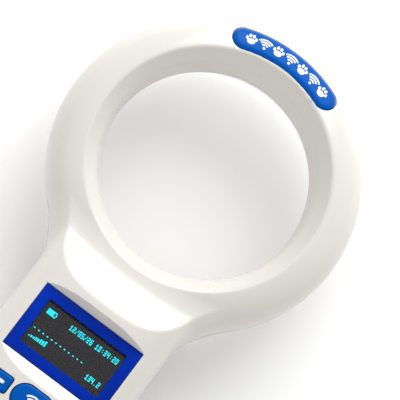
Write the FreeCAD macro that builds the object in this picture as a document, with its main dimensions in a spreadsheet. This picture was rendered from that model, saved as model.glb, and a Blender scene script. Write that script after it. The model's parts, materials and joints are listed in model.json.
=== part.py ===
"""Hand-held microchip scanner: a ring reader on a handle, with a display and three keys.

The scanner lies on its back. +Z points out of the display face, +Y runs from the handle to the ring,
and the origin is at the middle of the bounding box's underside. All lengths are in millimetres.
"""
import FreeCAD, Part
import Sketcher
import math
import os

SIZES = {
    "ring_radius": 41.25,
    "ring_middle": 36.25,
    "ring_half_depth": 9.5,
    "ring_side_half": 3.2,
    "ring_edge_round": 6.0,
    "ring_edge_run": 5.0,
    "ring_edge_rise": 5.9,
    "lip_radius": 31.9,
    "cone_radius": 28.4,
    "cone_half": 5.0,
    "hole_radius": 27.4,
    "throat_half": 2.0,
    "neck_round": 13.5,
    "neck_half_depth": 8.2,
    "handle_half_width": 20.7,
    "handle_half_depth": 16.5,
    "handle_round": 13.0,
    "tail_corner": 13.0,
    "tail_round": 9.0,
    "tail_end": -77.5,
    "ramp_foot": 1.4,
    "ramp_top": -9.2,
    "belly_ramp_top": -1.5,
    "handle_reach": 14.0,
    "parting": 16.5,
    "wall": 1.9,
    "lip_depth": 1.5,
    "lip_play": 0.1,
    "badge_inner": 32.6,
    "badge_outer": 39.6,
    "badge_half_width": 12.9,
    "badge_proud": 0.4,
    "badge_sunk": 0.7,
    "fit_gap": 0.1,
    "key_gap": 0.2,
    "display_middle": -22.3,
    "window_width": 29.7,
    "window_height": 18.4,
    "window_depth": 1.0,
    "pocket_floor": 30.4,
    "pocket_ring_end": 1.7,
    "pocket_tail_end": 3.4,
    "ledge_depth": 1.0,
    "ledge_border": 2.0,
    "tape_depth": 0.2,
    "panel_width": 26.7,
    "panel_height": 19.3,
    "panel_depth": 1.5,
    "foam_depth": 0.8,
    "holder_wall": 1.2,
    "board_top": 23.1,
    "board_depth": 1.6,
    "board_half_width": 17.0,
    "board_front": -7.0,
    "board_shoulder": -61.0,
    "board_tail": -74.5,
    "board_tongue_half": 9.0,
    "key_row": -39.75,
    "scan_key_width": 11.4,
    "scan_key_height": 7.3,
    "side_key_width": 9.5,
    "side_key_height": 4.6,
    "side_key_middle": 11.6,
    "side_key_round": 0.7,
    "key_proud": 0.5,
    "key_flange": 0.45,
    "key_travel": 0.4,
    "stem_radius": 1.9,
    "switch_side": 6.0,
    "switch_depth": 3.5,
    "plunger_radius": 1.6,
    "plunger_top": 27.7,
    "battery_width": 25.0,
    "battery_length": 46.0,
    "battery_depth": 7.0,
    "battery_floor": 3.4,
    "battery_middle": -41.0,
    "pad_depth": 1.0,
    "former_inner": 31.0,
    "former_outer": 34.6,
    "former_half": 4.5,
    "former_wall": 0.9,
    "coil_depth": 1.6,
    "boss_radius": 2.5,
    "screw_radius": 1.0,
    "screw_clearance": 1.1,
    "head_radius": 1.8,
    "head_depth": 1.5,
    "head_play": 0.3,
    "label_width": 15.0,
    "label_length": 34.0,
    "label_depth": 0.3,
    "label_corner": 1.5,
    "overrun": 1.0,
    "bed_side": 1.5,
    "bed_end": 2.8,
    "bed_rise": 0.8,
    "pocket_side": 7.0,
    "rib_width": 1.2,
    "rib_bite": 0.5,
    "case_pilot_depth": 5.8,
    "board_pilot_depth": 10.2,
    "case_shank": 10.0,
    "board_shank": 4.5,
    "slot_length": 2.2,
    "slot_width": 0.5,
    "slot_depth": 0.8,
    "head_clearance": 0.2,
    "sound_middle": -11.5,
    "sound_ring": 2.4,
    "sound_hole_radius": 0.6,
    "socket_width": 8.9,
    "socket_height": 3.2,
    "socket_length": 7.3,
    "socket_wall": 0.3,
    "socket_inset": 0.6,
    "plug_way_width": 9.4,
    "plug_way_height": 3.7,
    "plug_way_reach": 6.0,
    "tongue_width": 6.6,
    "tongue_length": 5.3,
    "tongue_depth": 0.7,
    "header_width": 5.0,
    "header_length": 3.0,
    "header_depth": 2.0,
    "plug_inset": 0.2,
    "plug_depth": 2.4,
    "panel_trim": 2.0,
    "flex_width": 11.0,
    "flex_depth": 0.2,
    "flex_lift": 0.4,
    "flex_reach": 3.6,
    "flex_bend": 1.6,
    "connector_width": 13.0,
    "connector_length": 2.0,
    "connector_depth": 1.2,
    "buzzer_radius": 6.0,
    "buzzer_depth": 5.0,
    "buzzer_mouth": 1.2,
    "buzzer_middle": -13.0,
    "pad_width": 18.0,
    "pad_length": 36.0,
    "battery_corner": 2.0,
    "coil_side": 1.6,
}

doc = FreeCAD.newDocument("MicrochipScanner")
sheet = doc.addObject("Spreadsheet::Sheet", "Dim")
for row, (alias, number) in enumerate(SIZES.items(), start=1):
    sheet.set(f"A{row}", alias)
    sheet.set(f"B{row}", str(number))
    sheet.setAlias(f"B{row}", alias)
doc.recompute()

SUBPARTS = []


class Measure:
    """A length worked out from the sheet: its number now, and the expression that keeps it bound."""

    def __init__(self, number, text):
        self.number = float(number)
        self.text = text

    def __add__(self, other):
        other = measure(other)
        return Measure(self.number + other.number, f"({self.text} + {other.text})")

    def __sub__(self, other):
        other = measure(other)
        return Measure(self.number - other.number, f"({self.text} - {other.text})")

    def __mul__(self, other):
        other = measure(other)
        return Measure(self.number * other.number, f"({self.text} * {other.text})")

    def __truediv__(self, other):
        other = measure(other)
        return Measure(self.number / other.number, f"({self.text} / {other.text})")

    def __neg__(self):
        return Measure(-self.number, f"(0 - {self.text})")

    def root(self):
        return Measure(self.number ** 0.5, f"sqrt({self.text})")


def measure(length):
    """Return a length as a Measure; a plain number stays a plain number in the expression."""
    if isinstance(length, Measure):
        return length
    return Measure(length, f"({length})")


def dim(alias):
    """Return the sheet's length of that name."""
    return Measure(sheet.get(alias), f"Dim.{alias}")


def bind(thing, **lengths):
    """Bind the properties of an object to the sheet; two underscores stand for a dot."""
    for name, length in lengths.items():
        thing.setExpression(name.replace("__", "."), measure(length).text)
    return thing


def block(name, corner, size):
    """A box from its lowest corner and its three sizes."""
    box = doc.addObject("Part::Box", name)
    bind(box, Length=size[0], Width=size[1], Height=size[2])
    bind(box, Placement__Base__x=corner[0], Placement__Base__y=corner[1], Placement__Base__z=corner[2])
    return box


def centred_block(name, middle, size):
    """A box centred in X and Y on a point whose third number is the box's underside."""
    half_width = measure(size[0]) / 2
    half_height = measure(size[1]) / 2
    corner = (measure(middle[0]) - half_width, measure(middle[1]) - half_height, middle[2])
    return block(name, corner, size)


def rod(name, foot, radius, height):
    """An upright cylinder that stands on a point."""
    cylinder = doc.addObject("Part::Cylinder", name)
    bind(cylinder, Radius=radius, Height=height)
    bind(cylinder, Placement__Base__x=foot[0], Placement__Base__y=foot[1], Placement__Base__z=foot[2])
    return cylinder


def fuse(name, *pieces):
    joined = doc.addObject("Part::MultiFuse", name)
    joined.Shapes = list(pieces)
    return joined


def cut(name, base, tool):
    cutting = doc.addObject("Part::Cut", name)
    cutting.Base = base
    cutting.Tool = tool
    return cutting


def common(name, *pieces):
    shared = doc.addObject("Part::MultiCommon", name)
    shared.Shapes = list(pieces)
    return shared


def group(name, *pieces):
    """Keep like pieces together in one node as separate solids."""
    gathered = doc.addObject("Part::Compound", name)
    gathered.Links = list(pieces)
    return gathered


def subpart(thing, label):
    """Name a finished piece and list it for writing."""
    thing.Label = label
    SUBPARTS.append((label, thing))
    return thing


def arc_between(start, end, radius, turn):
    """The short arc from start to end; turn is +1 for anticlockwise travel and -1 for clockwise."""
    if turn < 0:
        start, end = end, start
    chord = end - start
    middle = (start + end) * 0.5
    reach = (radius * radius - chord.Length * chord.Length / 4) ** 0.5
    across = FreeCAD.Vector(-chord.y, chord.x, 0).normalize()
    centre = middle + across * reach
    top = centre - across * radius
    return Part.Arc(start, top, end)


def outline(body, name, plane, corners, arcs=None, lift=None):
    """Sketch a closed outline on one of the body's own planes.

    corners are pairs of lengths; arcs gives, by edge number, the radius and turn of each round edge.
    """
    arcs = arcs or {}
    sketch = body.newObject("Sketcher::SketchObject", name)
    planes = {feature.Role: feature for feature in body.Origin.OriginFeatures}
    sketch.AttachmentSupport = (planes[plane], [""])
    sketch.MapMode = "FlatFace"
    if lift is not None:
        bind(sketch, AttachmentOffset__Base__z=lift)
    corners = [(measure(across), measure(up)) for across, up in corners]
    spots = [FreeCAD.Vector(across.number, up.number, 0) for across, up in corners]
    count = len(corners)
    first_end = []
    for edge in range(count):
        start, end = spots[edge], spots[(edge + 1) % count]
        if edge in arcs:
            radius, turn = arcs[edge]
            sketch.addGeometry(arc_between(start, end, measure(radius).number, turn))
            first_end.append(1 if turn > 0 else 2)
        else:
            sketch.addGeometry(Part.LineSegment(start, end))
            first_end.append(1)
    for edge in range(count):
        following = (edge + 1) % count
        last_end = 3 - first_end[edge]
        sketch.addConstraint(
            Sketcher.Constraint("Coincident", edge, last_end, following, first_end[following]))
    for edge, (across, up) in enumerate(corners):
        for kind, length in (("DistanceX", across), ("DistanceY", up)):
            number = sketch.addConstraint(
                Sketcher.Constraint(kind, -1, 1, edge, first_end[edge], length.number))
            sketch.setExpression(f"Constraints[{number}]", length.text)
    for edge, (radius, turn) in arcs.items():
        number = sketch.addConstraint(Sketcher.Constraint("Radius", edge, measure(radius).number))
        sketch.setExpression(f"Constraints[{number}]", measure(radius).text)
    return sketch


def new_body(name):
    return doc.addObject("PartDesign::Body", name)


def pad(name, plane, corners, length, arcs=None, lift=None, both_ways=False):
    """A body padded from one closed outline, to one side of its plane or half to each side."""
    body = new_body(name)
    sketch = outline(body, f"{name}_outline", plane, corners, arcs, lift)
    feature = body.newObject("PartDesign::Pad", f"{name}_pad")
    feature.Profile = sketch
    bind(feature, Length=length)
    if both_ways:
        feature.SideType = "Symmetric"
    return body


def revolve(name, corners, arcs=None, middle=None):
    """A body turned from an outline in its XZ plane about an upright axis through (0, middle)."""
    body = new_body(name)
    sketch = outline(body, f"{name}_section", "XZ_Plane", corners, arcs)
    feature = body.newObject("PartDesign::Revolution", f"{name}_turn")
    feature.Profile = sketch
    feature.ReferenceAxis = (sketch, ["V_Axis"])
    feature.Angle = 360
    if middle is not None:
        bind(body, Placement__Base__y=middle)
    return body


def rounded_block(name, middle, width, height, corner, floor, depth):
    """An upright prism with a rounded rectangular plan, such as a key or its opening."""
    half_width = measure(width) / 2
    half_height = measure(height) / 2
    inner_x = half_width - corner
    inner_y = half_height - corner
    corners = [
        (-inner_x, -half_height), (inner_x, -half_height),
        (half_width, -inner_y), (half_width, inner_y),
        (inner_x, half_height), (-inner_x, half_height),
        (-half_width, inner_y), (-half_width, -inner_y),
    ]
    arcs = {1: (corner, 1), 3: (corner, 1), 5: (corner, 1), 7: (corner, 1)}
    body = pad(name, "XY_Plane", corners, depth, arcs)
    bind(body, Placement__Base__x=middle[0], Placement__Base__y=middle[1], Placement__Base__z=floor)
    return body


# Outer forms of the case. Each can be drawn with its skin moved inwards by an inset, so that the same
# form gives the outside, the cavity and the lip between the covers.
MIDDLE = dim("parting")


def ring_disc(name, inset):
    """The ring's outside as a full disc, with a flat side band and large edge rounds."""
    radius = dim("ring_radius") - inset
    band = dim("ring_side_half")
    edge_round = dim("ring_edge_round") - inset
    edge_centre = dim("ring_radius") - dim("ring_edge_round")
    scale = edge_round / dim("ring_edge_round")
    shoulder = edge_centre + (dim("ring_edge_round") - dim("ring_edge_run")) * scale
    rise = band + dim("ring_edge_rise") * scale
    face = dim("ring_half_depth") - inset
    corners = [
        (0, MIDDLE - face), (dim("lip_radius"), MIDDLE - face), (shoulder, MIDDLE - rise),
        (radius, MIDDLE - band), (radius, MIDDLE + band),
        (shoulder, MIDDLE + rise), (dim("lip_radius"), MIDDLE + face), (0, MIDDLE + face),
    ]
    arcs = {2: (edge_round, 1), 4: (edge_round, 1)}
    return revolve(name, corners, arcs, dim("ring_middle"))


def ring_hole(name, inset):
    """The space inside the ring: a short throat at mid depth that opens in two steps to each face."""
    tall = dim("ring_half_depth") * 2
    throat = dim("hole_radius") + inset
    cone = dim("cone_radius") + inset
    lip = dim("lip_radius") + inset
    slope = (dim("lip_radius") - dim("cone_radius")) / (dim("ring_half_depth") - dim("cone_half"))
    mouth = lip + (tall - dim("ring_half_depth")) * slope
    corners = [
        (0, MIDDLE - tall), (mouth, MIDDLE - tall), (cone, MIDDLE - dim("cone_half")),
        (throat, MIDDLE - dim("throat_half")), (throat, MIDDLE + dim("throat_half")),
        (cone, MIDDLE + dim("cone_half")), (mouth, MIDDLE + tall), (0, MIDDLE + tall),
    ]
    return revolve(name, corners, None, dim("ring_middle"))


def neck(name, inset):
    """The web between ring and handle, with a hollow round on each side."""
    handle = dim("handle_half_width") - inset
    hollow = dim("neck_round") + inset
    ring = dim("ring_radius") - inset
    apart = dim("handle_half_width") + dim("neck_round")
    reach = dim("ring_radius") + dim("neck_round")
    along = (reach * reach - apart * apart).root()
    handle_y = dim("ring_middle") - along
    ring_x = apart * ring / reach
    ring_y = dim("ring_middle") - along * ring / reach
    half = dim("neck_half_depth") - inset
    corners = [(-ring_x, ring_y), (-handle, handle_y), (handle, handle_y), (ring_x, ring_y)]
    arcs = {0: (hollow, -1), 2: (hollow, -1)}
    return pad(name, "XY_Plane", corners, half * 2, arcs, MIDDLE - half)


def handle_form(name, inset):
    """The handle: a rounded section, a side profile with its ramps, and a plan with tail corners."""
    width = dim("handle_half_width") - inset
    depth = dim("handle_half_depth") - inset
    corner = dim("handle_round") - inset
    flat = dim("handle_half_width") - dim("handle_round")
    side = dim("handle_half_depth") - dim("handle_round")
    tail = dim("tail_end") + inset
    front = dim("handle_reach")
    section = pad(
        f"{name}_section", "XZ_Plane",
        [(-flat, MIDDLE - depth), (flat, MIDDLE - depth), (width, MIDDLE - side), (width, MIDDLE + side),
         (flat, MIDDLE + depth), (-flat, MIDDLE + depth), (-width, MIDDLE + side), (-width, MIDDLE - side)],
        dim("ring_middle") * 8, {1: (corner, 1), 3: (corner, 1), 5: (corner, 1), 7: (corner, 1)},
        both_ways=True)
    face = dim("ring_half_depth") - inset
    tail_round = dim("tail_round") - inset
    tail_band = dim("handle_half_depth") - dim("tail_round")
    tail_top = dim("tail_end") + dim("tail_round")
    profile = pad(
        f"{name}_profile", "YZ_Plane",
        [(tail_top, MIDDLE - depth), (dim("belly_ramp_top"), MIDDLE - depth),
         (dim("ramp_foot"), MIDDLE - face), (front, MIDDLE - face), (front, MIDDLE + face),
         (dim("ramp_foot"), MIDDLE + face), (dim("ramp_top"), MIDDLE + depth), (tail_top, MIDDLE + depth),
         (tail, MIDDLE + tail_band), (tail, MIDDLE - tail_band)],
        dim("handle_half_width") * 4, {7: (tail_round, 1), 9: (tail_round, 1)}, both_ways=True)
    tail_corner = dim("tail_corner") - inset
    corner_x = dim("handle_half_width") - dim("tail_corner")
    corner_y = dim("tail_end") + dim("tail_corner")
    plan = pad(
        f"{name}_plan", "XY_Plane",
        [(-corner_x, tail), (corner_x, tail), (width, corner_y), (width, front), (-width, front),
         (-width, corner_y)],
        MIDDLE * 4, {1: (tail_corner, 1), 5: (tail_corner, 1)}, -MIDDLE)
    return common(name, section, profile, plan)


def case_form(name, inset):
    """The whole case, ring hole and all, with its skin moved inwards by the inset."""
    solid = fuse(f"{name}_solid", ring_disc(f"{name}_disc", inset), neck(f"{name}_neck", inset),
                 handle_form(f"{name}_handle", inset))
    return cut(name, solid, ring_hole(f"{name}_hole", inset))


NOTHING = measure(0)
outside = case_form("outside", NOTHING)
cavity = case_form("cavity", dim("wall"))
lip_form = case_form("lip_form", dim("wall") / 2)

BIG = dim("ring_radius") * 6
front_half = centred_block("front_half", (0, 0, MIDDLE), (BIG, BIG, BIG))
rear_half = centred_block("rear_half", (0, 0, MIDDLE - BIG), (BIG, BIG, BIG))

# Where the covers are screwed together: by the tail, by the neck and high on the ring.
TAIL_SCREW = (15.0, -66.0)
NECK_SCREW = (15.5, -2.3)
RING_SCREW = (23.8, 64.6)
CASE_SCREWS = [(side * across, along) for across, along in (TAIL_SCREW, NECK_SCREW, RING_SCREW)
               for side in (-1, 1)]
HEAD_SEATS = {TAIL_SCREW[1]: measure(10), NECK_SCREW[1]: measure(10), RING_SCREW[1]: measure(11.9)}
BOARD_SCREWS = [(side * 14.6, along) for along in (-10.0, -57.0) for side in (-1, 1)]

front_top = dim("handle_half_depth") * 2
OVERRUN = dim("overrun")
SOCKET_MIDDLE = dim("board_top") - dim("board_depth") - dim("socket_height") / 2 - 0.03
PANEL_TOP = dim("pocket_floor") - dim("window_depth") - dim("ledge_depth")


def front_bosses():
    """Screw bosses of the front cover, trimmed to the case's outer form."""
    posts = []
    for number, (across, along) in enumerate(CASE_SCREWS):
        posts.append(rod(f"front_boss_{number}", (across, along, MIDDLE), dim("boss_radius"), MIDDLE))
    for number, (across, along) in enumerate(BOARD_SCREWS):
        posts.append(rod(f"board_boss_{number}", (across, along, dim("board_top")), dim("boss_radius") - 0.3,
                         front_top - dim("board_top")))
    return common("front_bosses", fuse("front_posts", *posts), outside)


def window_bed():
    """The thicker floor under the display pocket, which carries the window on a ledge."""
    depth = dim("window_depth") + dim("ledge_depth")
    return centred_block("window_bed", (0, dim("display_middle"), dim("pocket_floor") - depth),
                         (dim("window_width") + dim("bed_side") * 2,
                          dim("window_height") + dim("bed_end") * 2, depth + dim("bed_rise")))


def display_pocket():
    """The sunken flat that holds the window; its two ends slope up to the crown of the handle."""
    half = dim("window_height") / 2
    deep = front_top - dim("pocket_floor")
    top = front_top + OVERRUN
    ring_reach = half + dim("pocket_ring_end") * (deep + OVERRUN) / deep
    tail_reach = half + dim("pocket_tail_end") * (deep + OVERRUN) / deep
    middle = dim("display_middle")
    return pad("display_pocket", "YZ_Plane",
               [(middle - half, dim("pocket_floor")), (middle + half, dim("pocket_floor")),
                (middle + ring_reach, top), (middle - tail_reach, top)],
               dim("window_width") + dim("pocket_side") * 2, both_ways=True)


def window_opening():
    """The window's seat and the smaller hole through its ledge."""
    seat = centred_block("window_seat",
                         (0, dim("display_middle"), dim("pocket_floor") - dim("window_depth")),
                         (dim("window_width") + dim("fit_gap") * 2,
                          dim("window_height") + dim("fit_gap") * 2, dim("window_depth") + OVERRUN))
    hole = centred_block("ledge_hole", (0, dim("display_middle"), PANEL_TOP - OVERRUN),
                         (dim("window_width") - dim("ledge_border") * 2,
                          dim("window_height") - dim("ledge_border") * 2, dim("ledge_depth") + OVERRUN * 2))
    return fuse("window_opening", seat, hole)


# Keeps a full round end from closing its straight side to nothing.
SLIVER = 0.01
KEYS = {
    "scan": (measure(0), dim("scan_key_width"), dim("scan_key_height"), dim("scan_key_height") / 2),
    "left": (-dim("side_key_middle"), dim("side_key_width"), dim("side_key_height"), dim("side_key_round")),
    "right": (dim("side_key_middle"), dim("side_key_width"), dim("side_key_height"), dim("side_key_round")),
}


def key_prism(name, key, grow, floor, depth):
    """An upright prism of a key's plan, grown all round."""
    across, width, height, corner = KEYS[key]
    corner_now = corner + grow - (SLIVER if key == "scan" else 0)
    return rounded_block(name, (across, dim("key_row")), width + measure(grow) * 2,
                         height + measure(grow) * 2, corner_now, floor, depth)


def badge_plan(name, grow, floor, depth):
    """The arched pill of the badge: a slice of a ring band with full round ends."""
    inner = dim("badge_inner") - grow
    outer = dim("badge_outer") + grow
    half = dim("badge_half_width")
    middle = (dim("badge_inner") + dim("badge_outer")) / 2
    end_round = (outer - inner) / 2
    band_rise = (middle * middle - half * half).root()
    lean_x = half / middle
    lean_y = band_rise / middle
    corners = [
        (lean_x * inner, lean_y * inner), (lean_x * outer, lean_y * outer),
        (-(lean_x * outer), lean_y * outer), (-(lean_x * inner), lean_y * inner),
    ]
    end_arc = end_round + SLIVER / 10
    arcs = {0: (end_arc, 1), 1: (outer, 1), 2: (end_arc, 1), 3: (inner, -1)}
    body = pad(name, "XY_Plane", corners, depth, arcs)
    bind(body, Placement__Base__y=dim("ring_middle"), Placement__Base__z=floor)
    return body


def coil_ribs(name, floor, depth):
    """Six short radial ribs that hold the coil former between the covers."""
    ribs = []
    start = dim("former_inner") - dim("rib_bite")
    length = dim("former_outer") - dim("former_inner") + dim("rib_bite") * 2
    first_turn = 15
    for number in range(6):
        rib = doc.addObject("Part::Box", f"{name}_{number}")
        bind(rib, Length=length, Width=dim("rib_width"), Height=depth)
        turned = FreeCAD.Rotation(FreeCAD.Vector(0, 0, 1), first_turn + 60 * number)
        rib.Placement = FreeCAD.Placement(FreeCAD.Vector(0, 0, 0), turned)
        arm = rib.Placement.Rotation.multVec(FreeCAD.Vector(1, 0, 0))
        bind(rib, Placement__Base__x=start * round(arm.x, 6),
             Placement__Base__y=dim("ring_middle") + start * round(arm.y, 6),
             Placement__Base__z=floor)
        ribs.append(rib)
    return common(name, fuse(f"{name}_all", *ribs), outside)


def front_cover():
    shell = common("front_shell", cut("front_skin", outside, cavity), front_half)
    ribs = coil_ribs("front_ribs", MIDDLE + dim("former_half"), dim("ring_half_depth"))
    bed = common("window_bed_trimmed", window_bed(), outside)
    solid = fuse("front_solid", shell, front_bosses(), ribs, bed)
    lip_space = common("lip_space", lip_form,
                       centred_block("lip_slab", (0, 0, MIDDLE - OVERRUN),
                                     (BIG, BIG, OVERRUN + dim("lip_depth") + dim("fit_gap") * 2)))
    pilots = []
    for number, (across, along) in enumerate(CASE_SCREWS):
        pilots.append(rod(f"case_pilot_{number}", (across, along, MIDDLE - OVERRUN), dim("screw_radius"),
                          OVERRUN + dim("case_pilot_depth")))
    for number, (across, along) in enumerate(BOARD_SCREWS):
        pilots.append(rod(f"board_pilot_{number}", (across, along, MIDDLE), dim("screw_radius"),
                          dim("board_pilot_depth")))
    key_holes = [key_prism(f"{key}_hole", key, dim("key_gap"), dim("board_top") + OVERRUN, MIDDLE)
                 for key in KEYS]
    badge_seat = cut("badge_seat", badge_plan("badge_space", dim("fit_gap"), MIDDLE + 4, MIDDLE),
                     ring_disc("badge_floor", dim("badge_sunk")))
    plug_way = rounded_block("front_plug_way", (0, 0), dim("plug_way_width"), dim("plug_way_height"),
                             dim("plug_way_height") / 2 - SLIVER, 0, dim("plug_way_reach") + OVERRUN * 2)
    bind(plug_way, Placement__Base__y=dim("tail_end") + dim("plug_way_reach"),
         Placement__Base__z=SOCKET_MIDDLE)
    plug_way.Placement.Rotation = FreeCAD.Rotation(FreeCAD.Vector(1, 0, 0), 90)
    tools = fuse("front_tools", lip_space, display_pocket(), window_opening(), badge_seat, plug_way,
                 *pilots, *key_holes)
    subpart(cut("front_cover", solid, tools), "front_cover")


def rear_cover():
    shell = common("rear_shell", cut("rear_skin", outside, cavity), rear_half)
    posts = [rod(f"rear_boss_{number}", (across, along, 0), dim("boss_radius"), MIDDLE)
             for number, (across, along) in enumerate(CASE_SCREWS)]
    bosses = common("rear_bosses", fuse("rear_posts", *posts), outside)
    ribs = coil_ribs("rear_ribs", MIDDLE - dim("former_half") - dim("ring_half_depth"),
                     dim("ring_half_depth"))
    lip_slab = centred_block("rear_lip_slab", (0, 0, MIDDLE - OVERRUN),
                             (BIG, BIG, OVERRUN + dim("lip_depth")))
    lip_outer = case_form("lip_outer", dim("wall") / 2 + dim("lip_play"))
    lip = common("rear_lip", cut("lip_band", lip_outer, cavity), lip_slab)
    posts_clear = fuse("posts_clear", *[
        rod(f"post_clear_{number}", (across, along, MIDDLE), dim("boss_radius") + dim("fit_gap") * 2,
            dim("lip_depth") + OVERRUN)
        for number, (across, along) in enumerate(CASE_SCREWS)])
    trimmed_lip = cut("trimmed_lip", lip, posts_clear)
    solid = fuse("rear_solid", shell, bosses, ribs, trimmed_lip)
    holes = []
    for number, (across, along) in enumerate(CASE_SCREWS):
        holes.append(rod(f"screw_way_{number}", (across, along, -OVERRUN), dim("screw_clearance"),
                         MIDDLE + OVERRUN * 2))
        holes.append(rod(f"head_way_{number}", (across, along, -OVERRUN),
                         dim("head_radius") + dim("head_clearance"), HEAD_SEATS[along] + OVERRUN))
    for number in range(7):
        turned = FreeCAD.Rotation(FreeCAD.Vector(0, 0, 1), 60 * number)
        spoke = turned.multVec(FreeCAD.Vector(1 if number else 0, 0, 0))
        across = dim("sound_ring") * round(spoke.x, 6)
        along = dim("sound_middle") + dim("sound_ring") * round(spoke.y, 6)
        holes.append(rod(f"sound_hole_{number}", (across, along, -OVERRUN), dim("sound_hole_radius"),
                         dim("wall") + OVERRUN * 3))
    label_seat = rounded_block("label_seat", (0, dim("battery_middle")),
                               dim("label_width") + dim("fit_gap") * 2,
                               dim("label_length") + dim("fit_gap") * 2,
                               dim("label_corner") + dim("fit_gap"), -OVERRUN,
                               dim("label_depth") + OVERRUN)
    subpart(cut("rear_cover", solid, fuse("rear_tools", label_seat, *holes)), "rear_cover")


def trim_pieces():
    """The badge, the window and its tape, and the blank label behind."""
    badge = common("badge_top", badge_plan("badge_prism", NOTHING, MIDDLE + 4, MIDDLE),
                   ring_disc("badge_skin", -dim("badge_proud")))
    subpart(cut("ring_badge", badge, ring_disc("badge_bed", dim("badge_sunk"))), "ring_badge")
    tape_floor = dim("pocket_floor") - dim("window_depth")
    window = centred_block("display_window", (0, dim("display_middle"), tape_floor + dim("tape_depth")),
                           (dim("window_width"), dim("window_height"), dim("window_depth")))
    subpart(window, "display_window")
    tape = centred_block("tape_sheet", (0, dim("display_middle"), tape_floor),
                         (dim("window_width") - dim("fit_gap") * 6,
                          dim("window_height") - dim("fit_gap") * 6, dim("tape_depth")))
    tape_hole = centred_block("tape_hole", (0, dim("display_middle"), tape_floor - OVERRUN),
                              (dim("window_width") - dim("ledge_border") * 2,
                               dim("window_height") - dim("ledge_border") * 2, OVERRUN * 3))
    subpart(cut("window_tape", tape, tape_hole), "window_tape")
    label = rounded_block("rear_label", (0, dim("battery_middle")), dim("label_width"), dim("label_length"),
                          dim("label_corner"), 0, dim("label_depth"))
    subpart(label, "rear_label")


def display_pieces():
    """The display glass on its foam and holder, and the ribbon that bends down to the board."""
    middle = dim("display_middle")
    panel_floor = PANEL_TOP - dim("panel_depth")
    foam_floor = panel_floor - dim("foam_depth")
    size = (dim("panel_width"), dim("panel_height") - dim("panel_trim"))
    subpart(centred_block("display_panel", (0, middle, panel_floor), (*size, dim("panel_depth"))),
            "display_panel")
    subpart(centred_block("display_foam", (0, middle, foam_floor),
                          (size[0] - dim("panel_trim"), size[1] - dim("panel_trim"), dim("foam_depth"))),
            "display_foam")
    holder = centred_block("holder_block", (0, middle, dim("board_top")),
                           (*size, foam_floor - dim("board_top")))
    hollow = centred_block("holder_hollow", (0, middle, dim("board_top") - OVERRUN),
                           (size[0] - dim("holder_wall") * 2, size[1] - dim("holder_wall") * 2,
                            foam_floor - dim("board_top")))
    subpart(cut("display_holder", holder, hollow), "display_holder")
    edge = middle - size[1] / 2
    film = dim("flex_depth")
    top = panel_floor + dim("flex_lift") + film
    under = dim("board_top") + dim("flex_lift") + film
    fold = edge - dim("flex_bend")
    end = edge - dim("flex_reach")
    ribbon = [
        (edge, top), (fold, top), (fold, under + film), (end, under + film),
        (end, under), (fold + film, under), (fold + film, top - film), (edge, top - film),
    ]
    subpart(pad("display_flex", "YZ_Plane", ribbon, dim("flex_width"), both_ways=True), "display_flex")
    subpart(centred_block("display_connector",
                          (0, end - dim("connector_length") / 2, dim("board_top")),
                          (dim("connector_width"), dim("connector_length"), dim("connector_depth"))),
            "display_connector")


def key_pieces():
    """Three keys, each with a curved cap, a retaining flange and a stem, over its tact switch."""
    row = dim("key_row")
    skin = handle_form("key_skin", -dim("key_proud"))
    cap_bed = handle_form("cap_bed", dim("wall") + 0.5)
    flange_skin = handle_form("flange_skin", dim("wall") + 0.3)
    flange_bed = handle_form("flange_bed", dim("wall") + 1.2)
    cap_floor = dim("plunger_top") - 0.7
    hole_floor = dim("board_top") + dim("switch_depth") - 1.2
    for key, (across, width, height, corner) in KEYS.items():
        cap = cut(f"{key}_cap", common(f"{key}_cap_top", skin,
                                       key_prism(f"{key}_cap_prism", key, 0, cap_floor, MIDDLE)), cap_bed)
        flange = cut(f"{key}_flange", common(
            f"{key}_flange_top", flange_skin,
            key_prism(f"{key}_flange_prism", key, dim("key_flange"), cap_floor, MIDDLE)), flange_bed)
        stem = rod(f"{key}_stem", (across, row, dim("plunger_top")), dim("stem_radius"), 2.6)
        subpart(fuse(f"{key}_key", cap, flange, stem), f"{key}_key")
        plunger = rod(f"{key}_plunger", (across, row, hole_floor + dim("key_travel") + 0.3),
                      dim("plunger_radius"),
                      dim("plunger_top") - hole_floor - dim("key_travel") - 0.3)
        subpart(plunger, f"{key}_plunger")
        base = centred_block(f"{key}_switch_base", (across, row, dim("board_top")),
                             (dim("switch_side"), dim("switch_side"), dim("switch_depth")))
        well = rod(f"{key}_switch_well", (across, row, hole_floor), dim("plunger_radius") + 0.15, 3)
        subpart(cut(f"{key}_switch", base, well), f"{key}_switch")


CHIP_SIZE = (1.6, 0.9, 0.8)


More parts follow.
